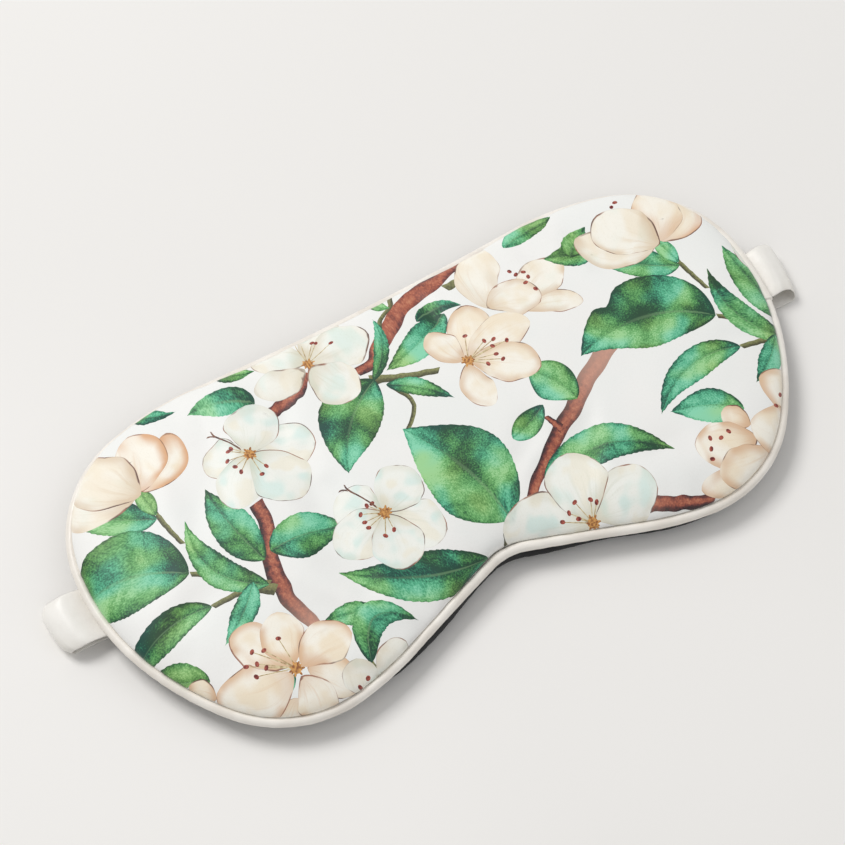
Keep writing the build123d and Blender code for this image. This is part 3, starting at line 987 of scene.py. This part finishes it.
def petal_material():
    """Cool or warm white with rays from the base, a tinted rim and a broken dark outline."""
    s = Shade("print_petal", **PRINTED)
    cloth = s.attribute("cloth")
    along, across, edge = s.split(s.attribute("place"))
    seed, warmth, _ = s.split(s.attribute("ink"))
    soft = s.noise(cloth, 0.14, 2, seed)
    hue = s.noise(cloth, 0.16, 1, s.math("ADD", seed, 12.0))
    rays = s.noise(s.join(s.math("MULTIPLY", across, 7.0), s.math("MULTIPLY", along, 0.9), seed), 1.4, 3)
    grain = s.noise(cloth, 2.6, 2, 5.0)
    cool = s.mix(s.ramp(hue, 0.5, 0.66, 0.0, 0.6), srgb(241, 242, 235), srgb(204, 232, 226))
    cool = s.mix(s.ramp(hue, 0.36, 0.46, 0.5, 0.0), cool, srgb(240, 231, 208))
    warm = s.mix(s.ramp(soft, 0.4, 0.62, 0.0, 0.8), srgb(248, 243, 231), srgb(241, 225, 198))
    colour = s.mix(s.ramp(warmth, 0.1, 0.8), cool, warm)
    depth = s.math("MULTIPLY", s.ramp(rays, 0.5, 0.72), s.ramp(along, 0.15, 0.85, 0.34, 0.06))
    shade = s.mix(s.ramp(warmth, 0.1, 0.8), srgb(202, 208, 190), srgb(217, 172, 124))
    colour = s.mix(depth, colour, shade)
    base = s.ramp(along, 0.02, 0.4, 0.45, 0.0)
    colour = s.mix(base, colour, s.mix(warmth, srgb(200, 202, 172), srgb(206, 152, 106)))
    patchy = s.ramp(s.noise(cloth, 0.11, 1, seed), 0.4, 0.56)
    rimmed = s.math("MULTIPLY", s.ramp(edge, 0.1, 2.6, 0.95, 0.0), patchy)
    glow = s.math("MULTIPLY", rimmed, s.math("MULTIPLY_ADD", warmth, 0.75, 0.25))
    colour = s.mix(glow, colour, s.mix(warmth, srgb(208, 210, 190), srgb(218, 166, 122)))
    colour = s.mix(s.ramp(grain, 0.5, 0.8, 0.0, 0.16), colour, srgb(196, 184, 160))
    present = s.ramp(s.noise(cloth, 0.16, 2, s.math("ADD", seed, 3.0)), 0.44, 0.6, 0.08, 0.95)
    reach = s.math("MULTIPLY_ADD", present, 0.22, 0.12)
    line = s.math("MULTIPLY", s.ramp(s.math("DIVIDE", edge, reach), 0.4, 1.0, 1.0, 0.0), present)
    colour = s.mix(line, colour, s.mix(s.ramp(soft, 0.42, 0.56), srgb(158, 106, 84), srgb(96, 62, 54)))
    return s.done(colour, satin_height(s, cloth))


def bark_material():
    """Red-brown bark, lit along one side, that fades out at one end."""
    s = Shade("print_branch", **PRINTED)
    cloth = s.attribute("cloth")
    along, across, _ = s.split(s.attribute("place"))
    seed, fade, _ = s.split(s.attribute("ink"))
    streak = s.noise(cloth, 0.7, 3, seed)
    grain = s.noise(cloth, 2.4, 2, 9.0)
    light = s.ramp(s.math("ADD", across, 0.15), -0.85, 0.2, 0.0, 0.6)
    light = s.math("SUBTRACT", light, s.ramp(across, 0.3, 1.0, 0.0, 0.4))
    light = s.math("MULTIPLY_ADD", s.math("SUBTRACT", streak, 0.5), 0.9, light)
    light = s.math("MULTIPLY_ADD", s.math("SUBTRACT", grain, 0.5), 0.7, light)
    colour = s.steps(light, [(0.0, (58, 44, 46)), (0.3, (112, 62, 58)), (0.6, (172, 98, 76)),
                             (1.0, (216, 152, 118))])
    fades_first = s.math("MAXIMUM", fade, 0.0)
    fades_last = s.math("MAXIMUM", s.math("MULTIPLY", fade, -1.0), 0.0)
    start = s.math("MULTIPLY", s.ramp(along, 0.0, 0.6, 0.75, 0.0), fades_first)
    end = s.math("MULTIPLY", s.ramp(along, 0.5, 1.0, 0.0, 0.7), fades_last)
    pale = s.math("ADD", start, end)
    return s.done(s.mix(pale, colour, srgb(206, 164, 146)), satin_height(s, cloth))


def stem_material():
    """Olive-grey stalk, lit along one side."""
    s = Shade("print_stem", **PRINTED)
    cloth = s.attribute("cloth")
    _, across, _ = s.split(s.attribute("place"))
    light = s.math("MULTIPLY_ADD", s.noise(cloth, 1.6, 2), 0.8, s.ramp(across, -0.9, 0.6, -0.1, 0.3))
    colour = s.steps(light, [(0.1, (54, 52, 44)), (0.45, (92, 92, 62)), (0.9, (150, 152, 100))])
    return s.done(colour, satin_height(s, cloth))


def detail_material(name, dark, light, scale):
    """Small parts of a flower: two colours mottled."""
    s = Shade(name, **PRINTED)
    cloth = s.attribute("cloth")
    factor = s.ramp(s.noise(cloth, scale, 2), 0.36, 0.62)
    return s.done(s.mix(factor, srgb(*dark), srgb(*light)), satin_height(s, cloth))


def satin_material(name, light, dark, roughness=0.38, pitch=0.3, depth=0.00003, sheen=0.15, subsurface=0.0):
    """Plain woven satin with faint slubs and tone."""
    s = Shade(name, roughness=roughness, specular=0.5, sheen=sheen, anisotropic=0.4, subsurface=subsurface)
    cloth = s.attribute("cloth")
    tone = s.ramp(s.noise(cloth, 0.09, 4), 0.35, 0.65)
    slub = s.ramp(s.noise(cloth, 2.0, 2), 0.4, 0.8, 0.0, 0.2)
    colour = s.mix(tone, srgb(*light), srgb(*dark))
    shine = s.ramp(s.noise(cloth, 0.6, 2), 0.3, 0.7, roughness - 0.05, roughness + 0.08)
    return s.done(s.mix(slub, colour, srgb(*dark)), satin_height(s, cloth, pitch), depth, shine)


def thread_material(name, light, dark):
    """Twisted sewing thread, with painted shade in the grooves of its twist."""
    s = Shade(name, roughness=0.55, sheen=0.2)
    place = s.object_place()
    x, y, z = s.split(place)
    twist = s.math("SINE", s.math("MULTIPLY", s.math("ADD", x, s.math("ADD", y, z)), 9000.0))
    # painted shade: the colour follows the twist that makes the bump, darker where the grooves between the
    # plies sink
    colour = s.mix(s.ramp(twist, -0.6, 0.9), srgb(*dark), srgb(*light))
    return s.done(colour, twist, 0.00003)


def fluffy_material(name, light, dark):
    """Wadding: soft lumps and loose fibres, with painted shade in the hollows between the lumps."""
    s = Shade(name, roughness=0.9, specular=0.2, sheen=0.4)
    place = s.object_place()
    lumps = s.noise(place, 300.0, 5, 0.0, 0.7)
    fibres = s.noise(place, 2500.0, 3, 2.0, 0.8)
    height = s.math("MULTIPLY_ADD", fibres, 0.4, lumps)
    # painted shade: the colour follows the bump height, darker in the low hollows
    return s.done(s.mix(s.ramp(height, 0.4, 0.9), srgb(*dark), srgb(*light)), height, 0.0004)


# ---- plain layers --------------------------------------------------------------------------------
def pillow(name, inset, spacing, top, bottom):
    """Closed layer with the mask's outline: top and bottom give each face's height over the plan."""
    rim_points, _ = outline(inset, spacing)
    depth = inset - PANEL_INSET
    points = np.vstack([rim_points, grid_inside(spacing, depth + 0.4 * spacing)])
    flat, faces = triangulate(points, [list(range(len(rim_points)))], depth)
    rim = rim_of(faces)
    count = len(flat)
    sides = [(rim[k], rim[k - 1], rim[k - 1] + count, rim[k] + count) for k in range(len(rim))]
    all_faces = [tuple(f) for f in faces] + [tuple(f[::-1] + count) for f in faces] + sides
    thing = new_object(name, np.vstack([top(flat), bottom(flat)]), all_faces)
    remember_cloth(thing, np.vstack([flat, flat]))
    return thing


def level(z, wave=0.0):
    """An even face at height z."""
    def surface(points):
        return np.column_stack([points, z + wave * ripple(points, 9, 3.3)])
    return surface


def raised(surface, lift):
    """The same face, higher by lift."""
    def moved(points):
        made = surface(points)
        made[:, 2] += lift
        return made
    return moved


# ---- piping --------------------------------------------------------------------------------------
PIPING_JOIN = np.array([103.6, -4.2])
PIPING_STEP = 0.6
CORE_STEP = 0.7
CORE_ROOM = 1.22
CORE_RADIUS = 1.03
PLIES = 3
PLY_DEPTH = 0.1
PLY_TURNS = 60
COVER_SLACK = 0.15
LAP_THICKNESS = 0.42
LAP_STEPS = (-0.16, -0.03, 0.03, 0.16)


def piping_cover():
    """Bias-cut satin round the cord, with its flat seam allowance and one lapped join."""
    centres, normals = outline(PIPING_RADIUS, PIPING_STEP)
    join = ((centres - PIPING_JOIN) ** 2).sum(axis=1).argmin()
    stations = [(k * PIPING_STEP, centre, normal) for k, (centre, normal) in enumerate(zip(centres, normals))]
    run, centre, normal = stations[join]
    ahead = np.array([normal[1], -normal[0]])
    stations[join:join + 1] = [(run + move, centre + ahead * move, normal) for move in LAP_STEPS]
    first = math.asin(FLANGE_THICKNESS / 2 / PIPING_RADIUS)
    angles = np.linspace(first, 2 * math.pi - first, 26)
    reach = PIPING_RADIUS + FLANGE_WIDTH
    ring = np.linspace(0, 2 * math.pi, 12, endpoint=False)
    sections = []
    hollow = []
    cloth = []
    for run, centre, normal in stations:
        lap = join * PIPING_STEP - run
        thick = LAP_THICKNESS * (1 - smoothstep(0.8, 6, lap)) * smoothstep(-0.02, 0.12, lap) ** 0.5
        rows = []
        places = []
        for angle in angles:
            pucker = noise.noise(Vector((run / 2.6 + angle * 0.5, angle * 0.7, 0.0)))
            fine = noise.noise(Vector((run / 0.9 - angle * 0.9, angle, 8.0)))
            radius = PIPING_RADIUS - COVER_SLACK + 0.08 * pucker + 0.03 * fine + thick
            inwards = radius * math.cos(angle)
            spot = centre - normal * inwards
            rows.append((*spot, SEAM_Z + radius * math.sin(angle)))
            places.append((run, angle * PIPING_RADIUS, 0))
        for z in (FLANGE_BOTTOM, FLANGE_TOP):
            rows.append((*(centre - normal * reach), z))
            places.append((run, reach, 0))
        sections.append(np.array(rows))
        cloth.append(np.array(places))
        bore = centre - normal * CORE_ROOM * np.cos(ring)[:, None]
        hollow.append(np.column_stack([bore, SEAM_Z + CORE_ROOM * np.sin(ring)]))
    return sweep("piping_satin_cover", sections, cloth, closed=True, inner=hollow)


def piping_core():
    """Three-ply cotton cord inside the piping."""
    centres, normals = outline(PIPING_RADIUS, CORE_STEP)
    turns = 2 * math.pi * PLY_TURNS / len(centres)
    angles = np.linspace(0, 2 * math.pi, 14, endpoint=False)
    sections = []
    cloth = []
    for k, (centre, normal) in enumerate(zip(centres, normals)):
        radius = CORE_RADIUS + PLY_DEPTH * np.cos(PLIES * (angles + k * turns))
        spots = centre - normal * (radius * np.cos(angles))[:, None]
        sections.append(np.column_stack([spots, SEAM_Z + radius * np.sin(angles)]))
        cloth.append(np.column_stack([np.full(len(angles), k * CORE_STEP), angles, angles * 0]))
    return sweep("piping_twisted_core", sections, cloth, closed=True)


# ---- strap ---------------------------------------------------------------------------------------
STRAP_HALF_THICKNESS = 0.45
SEWN_HALF_THICKNESS = 0.27
SEWN_END = [(95, 5.95), (97.2, 5.95), (98.8, 5.75), (100.6, 5.35), (102.6, 5.05), (104.4, 5.0), (105.9, 5.3),
            (107.4, 5.95), (109.1, 6.4), (110.9, 6.35)]
FOLD_CENTRE = (112.3, 3.1)
FOLD_RADIUS = 2.65
FOLD_ANGLES = range(60, -76, -15)
# how far the loop of each strap leans along y at its upper and lower leg, how far its fold reaches
# outwards, and how much more so at its +y edge; then how far the -y and +y corners stay back
LEAN = {-1: (0.9, 1.8, 1.6, 0.6), 1: (-1.0, -3.0, -1.6, 0.8)}
CORNER = {-1: (1.6, 2.2), 1: (0.3, 0.3)}
STRAP_STEP = 1.2
FOLD_STEP = 0.35
FOLD_FROM = 108
STRAP_ROWS = 17
# the hems show as a faint groove at this part of the half width
HEM_PLACE = 0.8
HEM_DEPTH = 0.09
LEFT_RUN = [(u, 0.45) for u in (111, 107, 100, 90, 75, 60, 45, 30, 15, 0, -15, -30, -45)]
RIGHT_RUN = [(111, 0.45), (107, 0.45), (100, 0.45), (90, 0.45), (78, 0.45), (68, 0.45), (60.5, 0.47),
             (54, 1.62), (47.8, 2.82), (42, 2.85), (34, 2.85), (25, 2.85), (16, 2.85), (5, 2.85)]


def strap_sections(sign, run):
    """Sections of one strap band along its route, which is the same on both sides up to the fold."""
    fold = [(FOLD_CENTRE[0] + FOLD_RADIUS * math.cos(math.radians(a)),
             FOLD_CENTRE[1] + FOLD_RADIUS * math.sin(math.radians(a))) for a in FOLD_ANGLES]
    route = np.array(SEWN_END + fold + run)
    middle = through(route, 900)
    step = np.hypot(*np.diff(middle, axis=0).T)
    length = np.concatenate([[0], np.cumsum(step)])
    stations = [0.0]
    while stations[-1] < length[-1]:
        here = np.interp(stations[-1], length, middle[:, 0])
        stations.append(stations[-1] + (FOLD_STEP if here > FOLD_FROM else STRAP_STEP))
    stations[-1] = length[-1]
    path = np.column_stack([np.interp(stations, length, middle[:, k]) for k in (0, 1)])
    along = np.gradient(path, axis=0)
    along /= np.hypot(along[:, 0], along[:, 1])[:, None]
    over = np.linspace(-1, 1, STRAP_ROWS)
    across = np.concatenate([over, [1.035], -over, [-1.035]])
    side = np.concatenate([np.ones(STRAP_ROWS), [0], -np.ones(STRAP_ROWS), [0]])
    upper_lean, lower_lean, reach, slant = LEAN[sign]
    sections = []
    cloth = []
    for s, (u, z), (du, dz) in zip(stations, path, along):
        rows = []
        in_run = smoothstep(30, 45, s)
        thickness = SEWN_HALF_THICKNESS + (STRAP_HALF_THICKNESS - SEWN_HALF_THICKNESS) * in_run
        bowed = math.exp(-((s - 16) / 5) ** 2)
        turned = math.exp(-((s - 21) / 7) ** 2)
        lower = smoothstep(17, 25, s)
        free = smoothstep(4, 12, s) * (1 - smoothstep(30, 50, s))
        lean = (upper_lean * (1 - lower) + lower_lean * lower) * free
        for place, face in zip(across, side):
            rounded = 1 - 0.42 * smoothstep(0.88, 1.0, abs(place))
            hem = HEM_DEPTH * math.exp(-((abs(place) - HEM_PLACE) / 0.035) ** 2)
            gather = 0.035 * noise.noise(Vector((s / 1.1, place * 3, 4.0 + face)))
            off = face * (thickness * rounded - hem * in_run - 0.03 + gather)
            off += bowed * (0.35 * place - 0.45 * place ** 2)
            wave = 0.12 * noise.noise(Vector((s / 9, 1.0 + sign, place)))
            y = STRAP_Y + lean + STRAP_HALF_WIDTH * place + wave
            out = turned * (reach + slant * place - CORNER[sign][int(place > 0)] * place ** 4)
            rows.append((sign * (u - dz * off + out), y, z + du * off))
        if sign < 0:
            rows = rows[::-1]
        sections.append(np.array(rows))
        order = across if sign > 0 else across[::-1]
        cloth.append(np.column_stack([np.full(len(order), s), order * STRAP_HALF_WIDTH, order * 0]))
    return sections, cloth


# ---- stitches and patches ------------------------------------------------------------------------
# a stitch: length, width and height
SEAM_STITCH = (1.9, 0.4, 0.25)
CLOSING_STITCH = (1.7, 0.35, 0.3)
TACK_STITCH = (1.7, 0.35, 0.24)
TAPE_STITCH = (1.5, 0.3, 0.2)
TACK_PLACE = (96.5, STRAP_Y - 5.1, 6.4)
TACK_STEP = 1.7
TACK_SLANT = 0.5
PATCH_X = 25.0
PATCH_HALF_LENGTH = 17.0
PATCH_HALF_WIDTH = 5.5
PATCH_CORNER = 1.5
PATCH_SEAM = 0.8
# a hook from its foot to its tip: how far out, height and radius
HOOK = ((0, 1.02, 0.11), (0.02, 1.18, 0.1), (0.09, 1.29, 0.09), (0.22, 1.31, 0.08), (0.33, 1.24, 0.06))
HOOK_PITCH = (1.15, 1.25)
NAP_POINTS = (62, 19)
NAP_INSET = 0.5
NAP_EDGE_Z = 2.12
NAP_Z = 2.02


def stitch_row(name, places, length, width, height):
    """Rounded stitches of thread, each at (x, y, z, angle); z is the surface that it lies on."""
    rings = 7
    around = 8
    points = []
    faces = []
    for x, y, z, angle in places:
        start = len(points)
        for ring in range(rings):
            t = -1 + 2 * ring / (rings - 1)
            swell = math.sqrt(max(0.0, 1 - t ** 4)) * 0.98 + 0.02
            for k in range(around):
                turn = 2 * math.pi * k / around
                a = t * length / 2
                b = width / 2 * swell * math.cos(turn)
                points.append((x + a * math.cos(angle) - b * math.sin(angle),
                               y + a * math.sin(angle) + b * math.cos(angle),
                               z + height / 2 * (swell * math.sin(turn) + 1 - abs(t) ** 3 * 0.6)))
        faces += tube(start, rings, around)
    return new_object(name, points, faces)


def along_outline(inset, pitch, z, slant=0.0, keep=lambda p: True):
    """Stitch places at an even pitch along the outline."""
    points, normals = outline(inset, 0.25)
    step = max(1, round(pitch / 0.25))
    places = []
    for k in range(0, len(points) - step // 2, step):
        if keep(points[k]):
            angle = math.atan2(normals[k][1], normals[k][0]) - math.pi / 2 + slant
            places.append((*points[k], z, angle))
    return places


def tack_places(sign):
    """A short zigzag across the sewn end of a strap."""
    x, y, z = TACK_PLACE
    angles = [math.pi / 2 + (TACK_SLANT if k % 2 else -TACK_SLANT) for k in range(7)]
    return [(sign * x, y + TACK_STEP * k, z, angle) for k, angle in enumerate(angles)]


def patch_places(z):
    """Stitches round a patch, PATCH_SEAM inside its edge."""
    places = []
    for end in (-1, 1):
        y = STRAP_Y + end * (PATCH_HALF_WIDTH - PATCH_SEAM)
        x = PATCH_X + end * (PATCH_HALF_LENGTH - PATCH_SEAM)
        places += [(PATCH_X + index * 2.1, y, z, 0.0) for index in range(-7, 8)]
        places += [(x, STRAP_Y + index * 1.75, z, math.pi / 2) for index in range(-2, 3)]
    return places


def tape_base(low, high):
    """Rounded oblong of woven tape, as points and faces."""
    length, width = PATCH_HALF_LENGTH - PATCH_CORNER, PATCH_HALF_WIDTH - PATCH_CORNER
    ring = []
    for cx, cy, start in ((1, 1, 0), (-1, 1, 90), (-1, -1, 180), (1, -1, 270)):
        for a in range(0, 91, 15):
            angle = math.radians(start + a)
            ring.append((PATCH_X + cx * length + PATCH_CORNER * math.cos(angle),
                         STRAP_Y + cy * width + PATCH_CORNER * math.sin(angle)))
    count = len(ring)
    soft = 0.06
    points = []
    for shrink, z in ((soft, low), (0, low + soft), (0, high - soft), (soft, high)):
        points += [(x - shrink * np.sign(x - PATCH_X), y - shrink * np.sign(y - STRAP_Y), z) for x, y in ring]
    return points, tube(0, 4, count)


def hook_tape():
    """Nylon tape with rows of tiny bent hooks."""
    points, faces = tape_base(0.9, 1.08)
    random.seed(7)
    for ix in range(-13, 14):
        for iy in range(-3, 4):
            x = PATCH_X + ix * HOOK_PITCH[0] + 0.3 * (iy % 2)
            y = STRAP_Y + iy * HOOK_PITCH[1]
            lean = 1 if iy % 2 else -1
            start = len(points)
            for dx, z, r in HOOK:
                dx += random.uniform(-0.01, 0.01)
                bent = dx > 0.15
                for k in range(6):
                    turn = 2 * math.pi * k / 6
                    across = r * math.cos(turn)
                    other = r * math.sin(turn)
                    out, up = (0, other) if bent else (other, 0)
                    points.append((x + lean * (dx + out), y + across, z + up))
            faces += tube(start, len(HOOK), 6)
    return finish_tape("hook_tape_piece", points, faces)


def loop_tape():
    """Napped tape: a low fur of loops hangs from its lower face."""
    points, faces = tape_base(2.1, 2.4)
    random.seed(11)
    nx, ny = NAP_POINTS
    start = len(points)
    for iy in range(ny):
        for ix in range(nx):
            x = PATCH_X + (ix / (nx - 1) - 0.5) * 2 * (PATCH_HALF_LENGTH - NAP_INSET)
            y = STRAP_Y + (iy / (ny - 1) - 0.5) * 2 * (PATCH_HALF_WIDTH - NAP_INSET)
            edge = ix in (0, nx - 1) or iy in (0, ny - 1)
            points.append((x, y, NAP_EDGE_Z if edge else NAP_Z + random.uniform(-0.1, 0.05)))
    for iy in range(ny - 1):
        for ix in range(nx - 1):
            a = start + iy * nx + ix
            faces.append((a, a + nx, a + nx + 1, a + 1))
    grid = start + np.arange(nx * ny).reshape(ny, nx)
    faces.append((*grid[0], *grid[1:, -1], *grid[-1, -2::-1], *grid[-2:0:-1, 0]))
    return finish_tape("loop_tape_piece", points, faces)


def finish_tape(name, points, faces):
    """A piece of tape with its cloth places, its faces outwards."""
    thing = new_object(name, points, faces)
    remember_cloth(thing, np.array(points)[:, :2])
    face_outwards(thing)
    return thing


# ---- build the pieces ----------------------------------------------------------------------------
WHITE_SATIN = satin_material("piping_cloth", (243, 238, 230), (230, 223, 213))
STRAP_SATIN = satin_material("strap_cloth", (241, 238, 232), (232, 228, 220), subsurface=0.12)
BLACK_SATIN = satin_material("black_cloth", (26, 25, 27), (12, 12, 14), roughness=0.42, sheen=0.25)
BLACKOUT = satin_material("blackout_weave", (34, 34, 36), (20, 20, 22), roughness=0.7, pitch=0.5)
COTTON = satin_material("cotton_core", (236, 230, 216), (214, 206, 190), roughness=0.8, pitch=0.6)
WADDING = fluffy_material("wadding_fill", (248, 247, 243), (224, 222, 214))
LINING_SIDE = satin_material("print_reverse", (238, 238, 234), (226, 226, 222), roughness=0.6)
WHITE_THREAD = thread_material("thread_white", (246, 244, 238), (206, 202, 192))
BLACK_THREAD = thread_material("thread_black", (40, 40, 42), (10, 10, 12))
HOOK_NYLON = satin_material("hook_nylon", (238, 236, 230), (222, 218, 208), roughness=0.45, pitch=0.4)
LOOP_NAP = satin_material("loop_nap", (244, 242, 238), (224, 222, 216), roughness=0.85, pitch=0.5,
                          depth=0.00008)

LINING_INSET = 5.2
FRONT_PAD_INSET = 5.3
BACK_PAD_INSET = 9.0
LINING_TOP = FLANGE_BOTTOM - 0.06
LINING_THICKNESS = 0.2
STITCH_INSET = 4.7
CLOSING_HALF_LENGTH = 36


def give(thing, slot, *materials):
    """Put the materials on a piece. The slot is not used."""
    for material in materials:
        thing.data.materials.append(material)


settle_front()
panel = printed_panel()
give(panel, "printed_satin", ground_material(), bark_material(), stem_material(), leaf_material(),
     petal_material(), detail_material("print_filament", (168, 140, 96), (214, 200, 160), 0.9),
     detail_material("print_heart", (142, 88, 52), (216, 160, 92), 1.5),
     detail_material("print_anther", (104, 34, 34), (178, 92, 76), 1.6),
     detail_material("print_line", (78, 50, 44), (128, 88, 70), 0.5), LINING_SIDE)
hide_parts("front_panel")
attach(panel, "mask")

front_pad = pillow("front_pad", FRONT_PAD_INSET, 3.0, raised(front_surface, -0.6), level(FLANGE_TOP + 0.3))
give(front_pad, "wadding", WADDING)
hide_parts("front_wadding")
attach(front_pad, "mask")

blackout = pillow("blackout_sheet", LINING_INSET, 2.5, level(LINING_TOP, 0.04),
                  level(LINING_TOP - LINING_THICKNESS, 0.04))
give(blackout, "blackout_cloth", BLACKOUT)
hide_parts("blackout_lining")
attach(blackout, "mask")

back_pad = pillow("back_pad", BACK_PAD_INSET, 3.0, level(FLANGE_BOTTOM - 0.4), back_filling)
give(back_pad, "wadding", WADDING)
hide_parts("back_wadding")
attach(back_pad, "mask")

back = pillow("black_back_panel", PANEL_INSET, 1.6, back_inner, back_surface)
give(back, "black_satin", BLACK_SATIN)
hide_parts("back_panel")
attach(back, "mask")

cover = piping_cover()
give(cover, "piping_satin", WHITE_SATIN)
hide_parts("piping_cover")
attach(cover, "mask")

core = piping_core()
give(core, "piping_core", COTTON)
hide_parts("piping_cord")
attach(core, "mask")

seam_stitches = stitch_row("seam_stitches", along_outline(STITCH_INSET, 2.5, FLANGE_TOP), *SEAM_STITCH)
give(seam_stitches, "white_thread", WHITE_THREAD)
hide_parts("perimeter_seam")
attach(seam_stitches, "mask")

closing_places = along_outline(3.0, 2.0, FLANGE_BOTTOM - 0.32, slant=0.9,
                               keep=lambda p: p[1] > 0 and abs(p[0]) < CLOSING_HALF_LENGTH)
closing = stitch_row("closing_hand_stitches", closing_places, *CLOSING_STITCH)
give(closing, "black_thread", BLACK_THREAD)
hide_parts("closing_stitches")
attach(closing, "mask")

for side_name, sign, run in (("left", -1, LEFT_RUN), ("right", 1, RIGHT_RUN)):
    strap = sweep(f"{side_name}_satin_strap", *strap_sections(sign, run))
    give(strap, "strap_satin", STRAP_SATIN)
    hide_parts(f"{side_name}_strap_end", f"{side_name}_strap_fold", f"{side_name}_strap_run")
    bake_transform(strap)
    tack = stitch_row(f"{side_name}_bar_tack", tack_places(sign), *TACK_STITCH)
    give(tack, "white_thread", WHITE_THREAD)
    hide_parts(f"{side_name}_strap_tack")
    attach(tack, "mask")

hooks = hook_tape()
give(hooks, "hook_tape", HOOK_NYLON)
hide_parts("hook_patch")
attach(hooks, "left_strap")

loops = loop_tape()
give(loops, "loop_tape", LOOP_NAP)
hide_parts("loop_patch")
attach(loops, "right_strap")

hook_thread = stitch_row("hook_tape_stitches", patch_places(1.06), *TAPE_STITCH)
give(hook_thread, "white_thread", WHITE_THREAD)
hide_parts("hook_patch_stitches")
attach(hook_thread, "left_strap")

loop_thread = stitch_row("loop_tape_stitches", patch_places(1.92), *TAPE_STITCH)
give(loop_thread, "white_thread", WHITE_THREAD)
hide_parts("loop_patch_stitches")
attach(loop_thread, "right_strap")

# ---- the cut size and area of the panel and the lining -------------------------------------------
def cut_of(inset):
    """Size of the box round a cut sheet, in m, and the sheet's area, in m2."""
    rim_points, _ = outline(inset, 0.5)
    x, y = rim_points.T * MM
    area = abs((x * np.roll(y, -1) - y * np.roll(x, -1)).sum()) / 2
    return tuple(float(v) for v in np.ptp(rim_points, axis=0) * MM), float(area)


PANEL_CUT, PANEL_AREA = cut_of(PANEL_INSET)
LINING_CUT, LINING_AREA = cut_of(LINING_INSET)

# ---- floor, light and camera ---------------------------------------------------------------------
floor_shade = Shade("floor_paper", roughness=0.75, specular=0.25)
floor_place = floor_shade.object_place()
floor_tone = floor_shade.ramp(floor_shade.noise(floor_place, 3.0, 3), 0.35, 0.65)
floor_colour = floor_shade.mix(floor_tone, srgb(241, 239, 236), srgb(236, 234, 231))
FLOOR_REACH = 4000
floor_corners = [(x * FLOOR_REACH, y * FLOOR_REACH, -0.02) for x, y in ((-1, -1), (1, -1), (1, 1), (-1, 1))]
floor = new_object("floor", floor_corners, [(0, 1, 2, 3)], smooth=False)
floor.data.materials.append(floor_shade.done(floor_colour))


def area_light(name, place, size, power, colour=(1, 1, 1)):
    """Square lamp, in m and watts, that faces the middle of the mask."""
    lamp = bpy.data.lights.new(name, "AREA")
    lamp.size = size
    lamp.energy = power
    lamp.color = colour
    thing = bpy.data.objects.new(name, lamp)
    thing.location = place
    thing.rotation_euler = (-Vector(place)).to_track_quat("-Z", "Y").to_euler()
    bpy.context.scene.collection.objects.link(thing)


area_light("key", (-0.4, 0.9, 1.35), 0.7, 15.6, (1, 0.992, 0.982))
area_light("fill", (0.9, -0.6, 0.9), 1.2, 2)
world = bpy.data.worlds.new("studio")
world.use_nodes = True
world.node_tree.nodes["Background"].inputs["Color"].default_value = (0.99, 0.995, 1.0, 1)
world.node_tree.nodes["Background"].inputs["Strength"].default_value = 0.5
bpy.context.scene.world = world
bpy.context.scene.view_settings.view_transform = "Standard"

CAMERA_DISTANCE = 0.698
CAMERA_TARGET = Vector((-0.00064, 0.0112, 0.007))
back_vector = Vector((math.sin(VIEW_AZIMUTH) * math.cos(VIEW_ELEVATION),
                      -math.cos(VIEW_AZIMUTH) * math.cos(VIEW_ELEVATION), math.sin(VIEW_ELEVATION)))
camera = bpy.data.objects.new("camera", bpy.data.cameras.new("camera"))
camera.data.lens = 108
camera.data.sensor_width = 36
camera.location = CAMERA_TARGET + back_vector * CAMERA_DISTANCE
camera.rotation_euler = (-back_vector).to_track_quat("-Z", "Y").to_euler()
bpy.context.scene.collection.objects.link(camera)
bpy.context.scene.camera = camera


bpy.context.view_layer.update()
